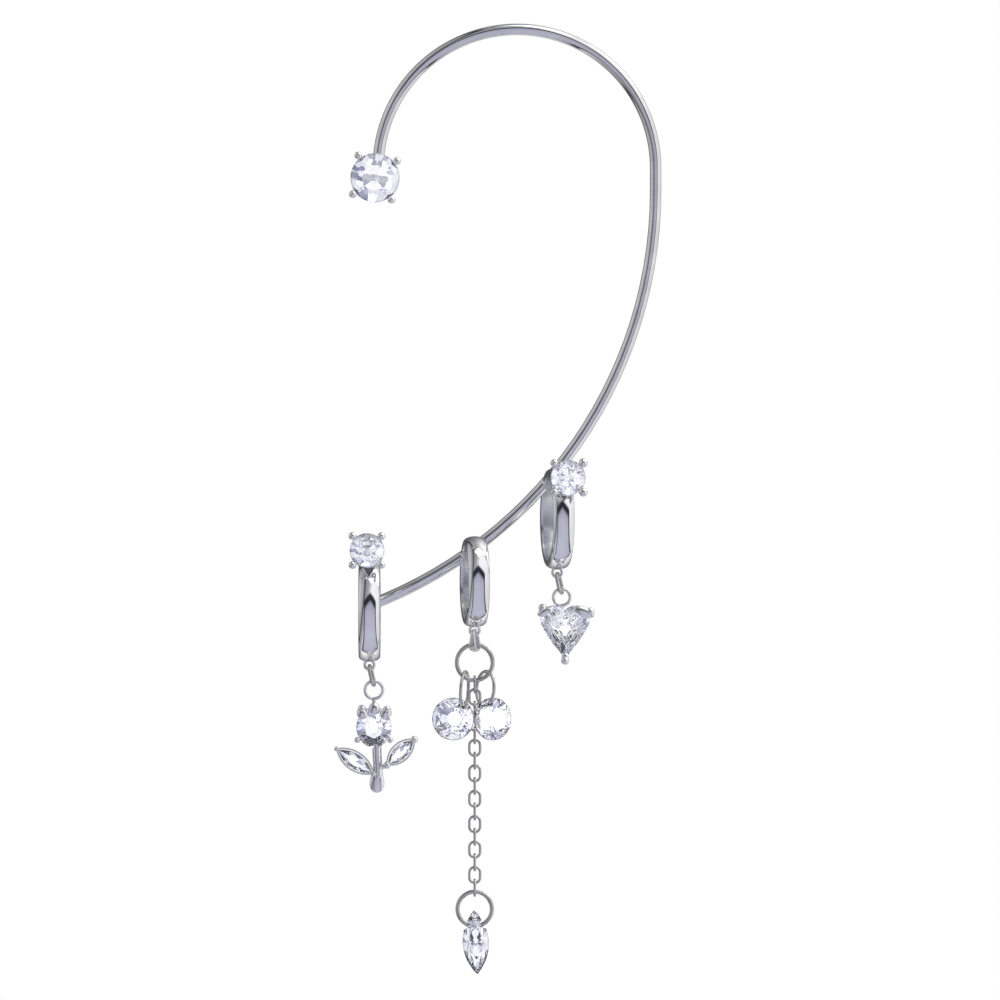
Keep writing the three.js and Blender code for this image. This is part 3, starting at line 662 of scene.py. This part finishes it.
def makeBrilliant(size, pavilion, name):
    stone = cutStone(roundOutline(size, size), size, size, size * stoneCut["crown"], size * pavilion)
    stone.name = name
    return move(stone, tableToFront)


for side, node in (("top", "top_stone"), ("left", "left_hoop_stone"), ("right", "right_hoop_stone")):
    stone = makeBrilliant(claws[side]["stone"], claws["pavilion"], side + "Stone")
    finish(move(stone, stoneFrames[side]), clearStone, "crystal", node, angle=0)
print("set stones cut")


# The drops' links

linkShape = {
    "wire": 0.34, "width": 1.5, "length": 2.36, "play": 0.11, "ringWire": 0.33,
    "tulip": {"hoop": "left", "turn": 78, "sway": 0.45},
    "heart": {"hoop": "right", "turn": 72, "sway": 0.45},
}


def eyeFoot(side):
    reach = (hoopShape["eye"] - hoopShape["eyeWire"]) / 2
    return hoopFrame(side) @ Vector((0, 0, -hoopShape[side]["size"] / 2 - hoopShape["eyeDrop"] - reach))


def makeDropLink(drop, ring):
    top = eyeFoot(linkShape[drop]["hoop"])
    top.z = restOn(top.z, hoopShape["eyeWire"], linkShape["wire"], linkShape["play"])
    bottom = top + Vector((linkShape[drop]["sway"], 0, linkShape["wire"] - linkShape["length"]))
    loop = wireLoop(linkShape["wire"], linkShape["length"], linkShape["width"])
    loop.name = drop + "Link"
    hang(loop, top, bottom, sideways(linkShape[drop]["turn"]))
    finish(loop, chainSteel, "steel", drop + "_link")
    ringTop = restOn(bottom.z, linkShape["wire"], linkShape["ringWire"], linkShape["play"])
    return Vector((bottom.x, bottom.y, ringTop - (ring - linkShape["ringWire"]) / 2))


# The tulip

tulip = {
    "ring": 2.1, "width": 3.5, "height": 4.05, "pavilion": 0.3, "neck": 0.62, "forward": 0.35,
    "gallery": 0.92, "wire": 0.34, "claws": [(126, 0.8), (50, 0.8), (215, 0.6), (325, 0.6)],  # angle, tip
    "stem": 0.92, "stemAcross": 0.3, "stemLean": 0.15, "stemLength": 3.1,
    "padLength": 1.9, "padWidth": 1.5, "padDepth": 0.72, "padAcross": -0.15, "padRun": 0.9, "padTaper": 0.5,
    "wall": 0.16, "wallHeight": 0.62, "leafWire": 0.28, "stalk": 0.48,
    "left": {
        "length": 4.0, "width": 1.5, "root": 0.94, "side": -1, "apart": 0, "lean": -56, "tip": 0.5,
    },
    "right": {
        "length": 3.3, "width": 1.45, "root": 0.78, "side": 1, "apart": 0.55, "lean": 47, "tip": 0.74,
    },
    "petals": [  # across, forward, up, length, depth, breadth, lean
        (-1.14, 0.4, 1.33, 1.25, 0.85, 1.05, 50),
        (1.16, 0.4, 1.33, 1.35, 0.85, 1.15, -52),
        (0.05, 0.34, 1.8, 1.3, 0.8, 1.15, 90),
    ],
}
heart = {
    "ring": 2.0, "width": 4.95, "height": 5.3, "lobe": 1.41, "lobeFoot": -25, "lobeShare": 0.62,
    "flankTurn": 6, "flankBow": 0.14, "pavilion": 0.3, "forward": 0.35,
    "across": 0.33, "rise": 0.2, "gallery": 2.0, "wire": 0.34, "tip": 0.8,
    "claws": [(-1, 44), (1, 28)],  # side and angle of the claws on the lobes
    "caps": [  # across, forward, up, length, depth, breadth, lean
        (-1.95, 0.42, 2.02, 1.75, 0.8, 0.85, -24),
        (1.85, 0.42, 1.98, 2.3, 0.85, 1.1, 18),
        (0, 0.3, -2.5, 0.7, 0.6, 0.9, 0),
    ],
}


# A polished cap over part of a stone's edge: a flattened ball, long along its lean.
def makeCap(across, forward, rise, length, depth, breadth, lean):
    cap = ball((0, 0, 0), 1, 32)
    cap.scale = (length, depth, breadth)
    cap.rotation_euler = (0, math.radians(lean), 0)
    cap.location = (across, -forward, rise)
    return settle(cap)


def makeGallery(width, height, depth, wire, rows):
    loop = move(wireLoop(wire, height, width, 12, 6), Matrix.Translation((0, depth, 0)))
    parts = [loop]
    for place, tip in rows:
        share = math.hypot(2 * place.x / (width - wire), 2 * place.y / (height - wire))
        foot = place / share
        parts += makeClaw(place, Vector((foot.x, depth, foot.y)), wire, tip)
    return parts


# The thin wall round a leaf's stone, with a small claw over each of its points.
def makeLeafWall(leaf):
    deselectAll()
    outline = marquiseOutline(leaf["width"] + 2 * claws["gap"], leaf["length"] + 2 * claws["gap"])
    bpy.ops.mesh.primitive_circle_add(vertices=48, radius=1, fill_type="NOTHING")
    wall = bpy.context.object
    for i, point in enumerate(wall.data.vertices):
        edge, way = outline((i + 0.5) / 48)
        point.co = (edge.x, 0, edge.y)
    bpy.ops.object.mode_set(mode="EDIT")
    bpy.ops.mesh.select_all(action="SELECT")
    bpy.ops.mesh.extrude_edges_move(TRANSFORM_OT_translate={"value": (0, tulip["wallHeight"], 0)})
    bpy.ops.mesh.select_all(action="SELECT")
    bpy.ops.mesh.normals_make_consistent(inside=False)
    bpy.ops.object.mode_set(mode="OBJECT")
    worked(wall, "SOLIDIFY", thickness=tulip["wall"], offset=1.0)
    parts = [worked(wall, "BEVEL", width=0.04, segments=2, limit_method="ANGLE")]
    for end in (1, -1):
        place = Vector((0, end * (leaf["length"] / 2 + tulip["leafWire"] / 2 + claws["gap"])))
        foot = Vector((place.x, tulip["wallHeight"] / 2, place.y))
        parts += makeClaw(place, foot, tulip["leafWire"], leaf["tip"])
    return parts


def makeTulip():
    middle = makeDropLink("tulip", tulip["ring"])
    flower = Vector((0, -tulip["forward"], -tulip["ring"] / 2 - tulip["neck"] - tulip["height"] / 2))
    outline = roundOutline(tulip["width"], tulip["height"])
    rows = [(clawPlace(outline, angle, tulip["wire"]), tip) for angle, tip in tulip["claws"]]
    width, height = tulip["width"] * tulip["gallery"], tulip["height"] * tulip["gallery"]
    pavilion = tulip["width"] * tulip["pavilion"]
    depth = pavilion * 0.5 + tulip["wire"]
    basket = solder("basket", makeGallery(width, height, depth, tulip["wire"], rows))
    move(basket, Matrix.Translation(flower))
    neckFoot = flower + Vector((0, depth, (height - tulip["wire"]) / 2))
    stemTop = flower + Vector((tulip["stemAcross"], depth, -height / 2 + tulip["wire"] / 4))
    sweep = 2 * math.atan(tulip["stemLean"] / tulip["stemLength"])
    radius = tulip["stemLength"] / math.sin(sweep)
    bend = ("bend", math.degrees(sweep), radius, (1, 0, 0))
    stem = bentWire(stemTop, down, tulip["stem"], [bend], sides=24, fine=1)
    stemFoot = stemTop + Vector((tulip["stemLean"], 0, -tulip["stemLength"]))
    pad = ball((0, 0, 0), 1, 32)
    for point in pad.data.vertices:  # a drop that runs up into the stem
        rise = max(0, point.co.z)
        point.co.z += rise * tulip["padRun"]
        point.co.x *= 1 - rise * tulip["padTaper"]
    pad.scale = (tulip["padWidth"], tulip["padDepth"], tulip["padLength"])
    pad.location = stemFoot + Vector((tulip["padAcross"], 0, -tulip["padLength"] * 0.4))
    parts = [
        wireLoop(linkShape["ringWire"], tulip["ring"], tulip["ring"], 16, 6),
        straightWire(Vector((0, 0, (linkShape["ringWire"] - tulip["ring"]) / 2)), neckFoot, tulip["wire"]),
        basket, stem, ball(stemFoot, tulip["stem"], 24), settle(pad),
    ]
    parts += [move(makeCap(*petal), Matrix.Translation(flower)) for petal in tulip["petals"]]
    for side in ("left", "right"):
        leaf = tulip[side]
        onStem = stemTop.lerp(stemFoot, leaf["root"])
        root = onStem + Vector((leaf["side"] * tulip["stem"] / 2, -tulip["forward"], 0))
        turn = math.radians(leaf["lean"])
        way = Vector((math.sin(turn), 0, math.cos(turn)))
        place = root + way * (leaf["apart"] + leaf["length"] / 2 + claws["gap"] + tulip["wall"])
        leafFrame = Matrix.Translation(place) @ Matrix.Rotation(turn, 4, "Y")
        parts.append(move(solder(side + "Wall", makeLeafWall(leaf)), leafFrame))
        stalk = root + way * leaf["apart"] + back * tulip["wallHeight"] / 2
        joint = Vector((onStem.x, depth - tulip["forward"], root.z))
        parts.append(straightWire(stalk, joint, tulip["stalk"]))
        stone = cutStone(
            marquiseOutline(leaf["width"], leaf["length"]), leaf["width"], leaf["length"],
            leaf["width"] * stoneCut["crown"], leaf["width"] * tulip["pavilion"], outlineCuts=24)
        stone.name = side + "LeafStone"
        move(stone, Matrix.Translation(middle) @ leafFrame @ tableToFront)
        finish(stone, clearStone, "crystal", side + "_leaf_stone", angle=0)
    setting = move(solder("tulipSetting", parts), Matrix.Translation(middle))
    finish(setting, castSteel, "steel", "tulip_setting")
    stone = cutStone(outline, tulip["width"], tulip["height"], tulip["width"] * stoneCut["crown"], pavilion)
    stone.name = "tulipStone"
    move(stone, Matrix.Translation(middle + flower) @ tableToFront)
    finish(stone, flowerCrystal, "crystal", "tulip_stone", angle=0)


makeTulip()
print("tulip done")


# The heart

def makeHeart():
    middle = makeDropLink("heart", heart["ring"])
    drop = (heart["ring"] + heart["height"]) / 2 - heart["rise"]
    place = Vector((heart["across"], -heart["forward"], -drop))
    lobe = heart["lobe"]
    lobeMiddle = Vector((heart["width"] / 2 - lobe, heart["height"] / 2 - lobe))
    lift = lobe + heart["wire"] / 2 + claws["gap"]
    rows = []
    for side, angle in heart["claws"]:
        turn = math.radians(angle)
        point = lobeMiddle + Vector((math.cos(turn), math.sin(turn))) * lift
        rows.append((Vector((side * point.x, point.y)), heart["tip"]))
    rows.append((Vector((0, -heart["height"] / 2 - heart["wire"] / 2 - claws["gap"])), heart["tip"]))
    gallery, pavilion = heart["gallery"], heart["width"] * heart["pavilion"]
    depth = pavilion + stoneCut["girdle"] / 2
    basket = solder("basket", makeGallery(gallery, gallery, depth, heart["wire"], rows))
    move(basket, Matrix.Translation(place))
    neckFoot = place + Vector((0, depth, (gallery - heart["wire"]) / 2))
    neckTop = Vector((0, 0, (linkShape["ringWire"] - heart["ring"]) / 2))
    parts = [
        wireLoop(linkShape["ringWire"], heart["ring"], heart["ring"], 16, 6),
        straightWire(neckTop, neckFoot, heart["wire"]), basket,
    ]
    parts += [move(makeCap(*cap), Matrix.Translation(place)) for cap in heart["caps"]]
    setting = move(solder("heartSetting", parts), Matrix.Translation(middle))
    finish(setting, castSteel, "steel", "heart_setting")
    stone = cutStone(
        heartOutline(heart["width"], heart["height"]), heart["width"] * 1.1, heart["height"] * 1.1,
        heart["width"] * stoneCut["crown"], pavilion, mains=7, outlineCuts=28, half=True)
    worked(stone, "MIRROR", use_clip=True, merge_threshold=1e-3)
    stone.name = "heartStone"
    move(tidyMesh(stone, 1e-3), Matrix.Translation(middle + place) @ tableToFront)
    finish(stone, flowerCrystal, "crystal", "heart_stone", angle=0)


makeHeart()
print("heart done")


# The middle drop: bail, rings, round stones, chain and marquise

middleDrop = {
    "bail": 2.32, "bailDepth": 1.45, "bailThick": 0.26,
    "bailTop": 0.3, "bailFoot": 1.25, "bailTongue": 0.62, "bailRound": 0.94,
    "eyePlay": 0.24, "footPlay": 0.26, "linkPlay": 0.05, "ringPlay": 0.21, "turn": 66,
    "upperRing": 4.0, "lowerRing": 3.86, "ringWire": 0.42, "stoneRingWire": 0.33,
    "linkLength": 1.84, "linkWidth": 1.34, "linkWire": 0.26, "links": 17,
}
roundStones = {
    "size": 4.25, "pavilion": 0.3, "hole": 0.74, "inset": 0.62,
    "left": {"hour": -30, "across": -0.54, "fall": 1.41, "forward": 0.13, "turn": -12, "lean": 40},
    "right": {"hour": 31, "across": 0.445, "fall": 1.41, "forward": 0.15, "turn": 30, "lean": -24},
}
marquise = {
    "width": 2.6, "length": 6.4, "crown": 0.3, "pavilion": 0.42, "hole": 0.86, "inset": 1.45, "tilt": -3,
}


# The bail is strip, narrow at the top and broad at its foot, folded into a loop.
def makeBail():
    deselectAll()
    half, reach = middleDrop["bailDepth"] / 2, (middleDrop["bail"] - middleDrop["bailDepth"]) / 2
    thick = middleDrop["bailThick"]
    bpy.ops.mesh.primitive_plane_add(size=1, location=(half - thick / 2, 0, -reach))
    strip = bpy.context.object
    strip.scale = (thick, 1, 1)
    settle(strip)
    bpy.ops.object.mode_set(mode="EDIT")
    bpy.ops.mesh.select_all(action="SELECT")
    bpy.ops.mesh.delete(type="ONLY_FACE")
    bpy.ops.mesh.select_all(action="SELECT")
    bpy.ops.mesh.subdivide(number_cuts=2)
    bpy.ops.mesh.extrude_edges_move(TRANSFORM_OT_translate={"value": (0, 0, 2 * reach)})
    bpy.ops.mesh.spin(steps=16, angle=math.pi, center=(0, 0, reach), axis=(0, 1, 0))
    bpy.ops.mesh.extrude_edges_move(TRANSFORM_OT_translate={"value": (0, 0, -2 * reach)})
    bpy.ops.mesh.spin(steps=16, angle=math.pi, center=(0, 0, -reach), axis=(0, 1, 0))
    bpy.ops.object.mode_set(mode="OBJECT")
    tidyMesh(strip, 1e-3)
    for point in strip.data.vertices:
        fall = 0.5 - point.co.z / middleDrop["bail"]
        breadth = middleDrop["bailTop"] + (middleDrop["bailFoot"] - middleDrop["bailTop"]) * fall ** 2
        tongue = max(0, fall - middleDrop["bailTongue"]) / (1 - middleDrop["bailTongue"])
        point.co.y *= breadth * math.sqrt(1 - middleDrop["bailRound"] * tongue ** 2)
    worked(strip, "BEVEL", width=0.07, segments=3, limit_method="ANGLE")
    strip.name = "bail"
    return strip


def makeRoundStone(side, ringMiddle):
    held = roundStones[side]
    size, wire = roundStones["size"], middleDrop["stoneRingWire"]
    reach = (middleDrop["upperRing"] - middleDrop["ringWire"]) / 2
    hour, lean, turn = (math.radians(held[key]) for key in ("hour", "lean", "turn"))
    carrier = ringMiddle + Vector((math.sin(hour), 0, -math.cos(hour))) * reach
    place = ringMiddle + Vector((held["across"], -held["forward"], -held["fall"])) * middleDrop["upperRing"]
    inset = size / 2 - roundStones["inset"]
    hole = Vector((math.sin(lean), 0, math.cos(lean))) * inset
    holePlace = place + Matrix.Rotation(turn, 3, "Z") @ hole
    way = (carrier - holePlace).normalized()
    top = carrier + way * ((middleDrop["ringWire"] + wire) / 2 + middleDrop["ringPlay"])
    loop = (top - holePlace).length + wire
    ring = wireLoop(wire, loop, loop, 16, 6)
    ring.name = side + "StoneRing"
    through = hang(ring, top, holePlace, sideways(held["turn"] - 90))
    finish(ring, chainSteel, "steel", side + "_stone_ring")
    stone = makeBrilliant(size, roundStones["pavilion"], side + "RoundStone")
    bore = Matrix.Rotation(-turn, 3, "Z") @ through
    drill(stone, hole - bore * size, hole + bore * size, roundStones["hole"])
    move(stone, Matrix.Translation(place) @ Matrix.Rotation(turn, 4, "Z"))
    finish(stone, drilledStone, "crystal", side + "_round_stone", angle=0)


def makeMiddleDrop():
    eye = eyeFoot("middle")
    bailTop = eye.copy()
    bailTop.z = restOn(eye.z, hoopShape["eyeWire"], middleDrop["bailThick"], middleDrop["eyePlay"])
    bailFoot = bailTop + down * (middleDrop["bail"] - middleDrop["bailThick"])
    bail = makeBail()
    hang(bail, bailTop, bailFoot, sideways(middleDrop["turn"]))
    finish(bail, castSteel, "steel", "bail")
    ringWire = middleDrop["ringWire"]
    ringTop = restOn(bailFoot.z, middleDrop["bailThick"], ringWire, middleDrop["footPlay"])
    ringFoot = ringTop + ringWire - middleDrop["upperRing"]
    ringMiddle = Vector((eye.x, eye.y, (ringTop + ringFoot) / 2))
    ring = wireLoop(ringWire, middleDrop["upperRing"], middleDrop["upperRing"], 20, 5)
    ring.name = "upperRing"
    finish(move(ring, Matrix.Translation(ringMiddle)), chainSteel, "steel", "upper_ring")
    for side in ("left", "right"):
        makeRoundStone(side, ringMiddle)

    wire = middleDrop["linkWire"]
    top = restOn(ringFoot, ringWire, wire, middleDrop["linkPlay"])
    pattern = wireLoop(wire, middleDrop["linkLength"], middleDrop["linkWidth"], 12, 12)
    for i in range(1, middleDrop["links"] + 1):
        foot = top + wire - middleDrop["linkLength"]
        link = copyOf(pattern, f"chainLink{i:02d}")
        turned = Matrix.Rotation(math.radians(90 * (i % 2)), 4, "Z")
        move(link, Matrix.Translation((eye.x, eye.y, (top + foot) / 2)) @ turned)
        finish(link, chainSteel, "steel", f"chain_link_{i:02d}")
        top = restOn(foot, wire, wire, middleDrop["linkPlay"])
    bpy.data.objects.remove(pattern)

    lowerTop = restOn(foot, wire, ringWire, middleDrop["linkPlay"])
    lowerFoot = lowerTop + ringWire - middleDrop["lowerRing"]
    ring = wireLoop(ringWire, middleDrop["lowerRing"], middleDrop["lowerRing"], 20, 5)
    ring.name = "lowerRing"
    move(ring, Matrix.Translation((eye.x, eye.y, (lowerTop + lowerFoot) / 2)))
    finish(ring, chainSteel, "steel", "lower_ring")
    makeMarquise(Vector((eye.x, eye.y, lowerFoot)))


def makeMarquise(wirePlace):
    width, length = marquise["width"], marquise["length"]
    stone = cutStone(
        marquiseOutline(width, length), width, length,
        width * marquise["crown"], width * marquise["pavilion"])
    stone.name = "marquiseStone"
    move(stone, tableToFront)
    reach = (middleDrop["lowerRing"] - middleDrop["ringWire"]) / 2
    inset = length / 2 - marquise["inset"]
    bow = (length ** 2 + width ** 2) / (4 * width)
    halfWidth = math.sqrt(bow ** 2 - inset ** 2) - bow + width / 2
    rise = (reach - math.sqrt(reach ** 2 - halfWidth ** 2)) / 2
    drill(stone, Vector((-width, 0, inset)), Vector((width, 0, inset)), marquise["hole"])
    tilt = Matrix.Rotation(math.radians(marquise["tilt"]), 4, "Y")
    place = wirePlace + tilt @ Vector((0, 0, -inset)) + up * rise
    move(stone, Matrix.Translation(place) @ tilt)
    finish(stone, drilledStone, "crystal", "marquise_stone", angle=0)


makeMiddleDrop()
print("middle drop done")


# Studio

studio = {
    "floorDrop": 0.12, "floorSize": 3.0,
    "middle": (-0.0017, -0.003, -0.0466), "distance": 1.3, "span": 0.1, "strength": 1.1,
    "cardTop": 25, "cardAcross": 38, "cardShift": 0.1, "cardHalf": 0.5, "cardBack": 0.3,
    "edgeRound": 0.05, "archSoft": 0.1, "lean": 20,
    "cardShades": [  # from inside the card to its black edge
        (-0.3, (0.52, 0.53, 0.64)), (-0.1, (0.47, 0.47, 0.58)), (-0.03, (0.38, 0.38, 0.47)),
        (-0.005, (0.22, 0.22, 0.28)), (0.01, (0.03, 0.03, 0.04)), (0.3, (0.03, 0.03, 0.04)),
    ],
    "roomShades": [  # white on the right and below, grey with a dark seam on the upper left
        (-1.0, (0.75, 0.75, 0.78)), (-0.6, (0.95, 0.95, 0.96)), (0.06, (1.0, 1.0, 1.0)),
        (0.18, (0.66, 0.66, 0.68)), (0.33, (0.36, 0.36, 0.38)), (0.52, (0.3, 0.3, 0.32)),
        (0.56, (0.05, 0.05, 0.06)), (0.61, (0.05, 0.05, 0.06)), (0.66, (0.3, 0.3, 0.32)),
        (1.0, (0.6, 0.6, 0.62)),
    ],
    "behindShades": [
        (-1.0, (1, 1, 1)), (0.45, (1, 1, 1)), (0.8, (0.45, 0.45, 0.48)), (1.0, (0.12, 0.12, 0.13)),
    ],
    "throughShades": [  # what the stones gather from all round
        (0.0, (0.08, 0.08, 0.13)), (0.35, (0.34, 0.36, 0.52)),
        (0.4, (1.25, 1.25, 1.3)), (1.0, (1.7, 1.7, 1.7)),
    ],
    "frontWay": (0.0, -0.94, 0.34),  # the card dims what they gather from this way
    "frontShades": [
        (0.0, (1, 1, 1)), (0.935, (1, 1, 1)), (0.95, (0.36, 0.37, 0.45)), (1.0, (0.3, 0.31, 0.38)),
    ],
    "floorShade": (0.88, 0.88, 0.9),
    "lights": {  # place, size and power
        "topLight": ((0.1, -0.1, 0.7), 0.3, 0.5), "sideLight": ((0.45, 0.15, 0.45), 0.3, 0.6),
    },
}


# A lavender card with a pointed top and a black edge stands before the piece, in a white room.
def makeWorld():
    world = bpy.data.worlds.new("studio")
    bpy.context.scene.world = world
    world.use_nodes = True
    tree = world.node_tree
    tree.nodes.clear()
    link = tree.links.new
    place, apart = addNode(tree, "TexCoord"), addNode(tree, "SeparateXYZ")
    link(place.outputs["Generated"], apart.inputs[0])
    x, y, z = apart.outputs
    aside = work(tree, "ABSOLUTE", work(tree, "SUBTRACT", x, studio["cardShift"]))
    steepness = 1 / math.tan(math.radians(studio["cardTop"]))
    flank = 1 / math.tan(math.radians(studio["cardAcross"]))
    arch = work(tree, "MULTIPLY_ADD", aside, flank, work(tree, "MULTIPLY_ADD", z, steepness, y))
    arch = work(tree, "MULTIPLY", arch, studio["archSoft"])
    sides = work(tree, "SUBTRACT", aside, studio["cardHalf"])
    foot = work(tree, "SUBTRACT", y, studio["cardBack"])
    edge = work(tree, "SMOOTH_MAX", sides, foot, studio["edgeRound"])
    edge = work(tree, "SMOOTH_MAX", arch, edge, studio["edgeRound"])
    card = shadeRamp(tree, edge, -0.3, 0.3, studio["cardShades"])
    lean = math.radians(studio["lean"])
    leftward = work(tree, "MULTIPLY_ADD", x, -math.cos(lean), work(tree, "MULTIPLY", z, math.sin(lean)))
    room = mixShades(
        tree, "MULTIPLY", 1.0, shadeRamp(tree, leftward, -1, 1, studio["roomShades"]),
        shadeRamp(tree, y, -1, 1, studio["behindShades"]))
    both = mixShades(tree, "MIX", mapped(tree, edge, 0.06, 0.09), card, room)
    spots = addNode(tree, "TexNoise", Scale=2.2, Detail=0.0)
    link(place.outputs["Generated"], spots.inputs["Vector"])
    ahead = addNode(tree, "VectorMath", operation="DOT_PRODUCT")
    link(place.outputs["Generated"], ahead.inputs[0])
    ahead.inputs[1].default_value = Vector(studio["frontWay"]).normalized()
    through = mixShades(
        tree, "MULTIPLY", 1.0, shadeRamp(tree, spots.outputs["Fac"], 0, 1, studio["throughShades"]),
        shadeRamp(tree, ahead.outputs["Value"], 0, 1, studio["frontShades"]))
    seen, lit = addNode(tree, "Background"), addNode(tree, "Background")
    seen.inputs["Color"].default_value = (1, 1, 1, 1)
    seen.inputs["Strength"].default_value = 1.0
    lit.inputs["Strength"].default_value = studio["strength"]
    rays, mixed = addNode(tree, "LightPath"), addNode(tree, "MixShader")
    output = addNode(tree, "OutputWorld")
    link(mixShades(tree, "MIX", rays.outputs["Is Transmission Ray"], both, through), lit.inputs["Color"])
    link(rays.outputs["Is Camera Ray"], mixed.inputs["Fac"])
    link(lit.outputs[0], mixed.inputs[1])
    link(seen.outputs[0], mixed.inputs[2])
    link(mixed.outputs[0], output.inputs["Surface"])


def makeStudio():
    deselectAll()
    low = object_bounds()[0].z - studio["floorDrop"]
    bpy.ops.mesh.primitive_plane_add(size=studio["floorSize"], location=(0, 0, low))
    floor = bpy.context.object
    floor.name = "floor"
    paper = bpy.data.materials.new("paleFloor")
    paper.use_nodes = True
    shader = paper.node_tree.nodes["Principled BSDF"]
    shader.inputs["Base Color"].default_value = (*studio["floorShade"], 1)
    shader.inputs["Roughness"].default_value = 0.9
    floor.data.materials.append(paper)
    floor.visible_glossy = floor.visible_transmission = False  # the polished steel mirrors the card instead
    aim = Vector(studio["middle"])
    for name, (place, size, power) in studio["lights"].items():
        bpy.ops.object.light_add(type="AREA", location=place)
        light = bpy.context.object
        light.name = name
        light.data.size, light.data.energy = size, power
        light.rotation_euler = (aim - Vector(place)).to_track_quat("-Z", "Y").to_euler()
    bpy.ops.object.camera_add(location=aim + front * studio["distance"], rotation=(math.pi / 2, 0, 0))
    camera = bpy.context.object
    camera.name = "camera"
    camera.data.sensor_width = 36
    camera.data.lens = 36 * studio["distance"] / studio["span"]
    camera.data.clip_start, camera.data.clip_end = 0.05, 10
    bpy.context.scene.camera = camera
    bpy.context.scene.view_settings.view_transform = "Standard"


makeWorld()
makeStudio()
print("studio ready")
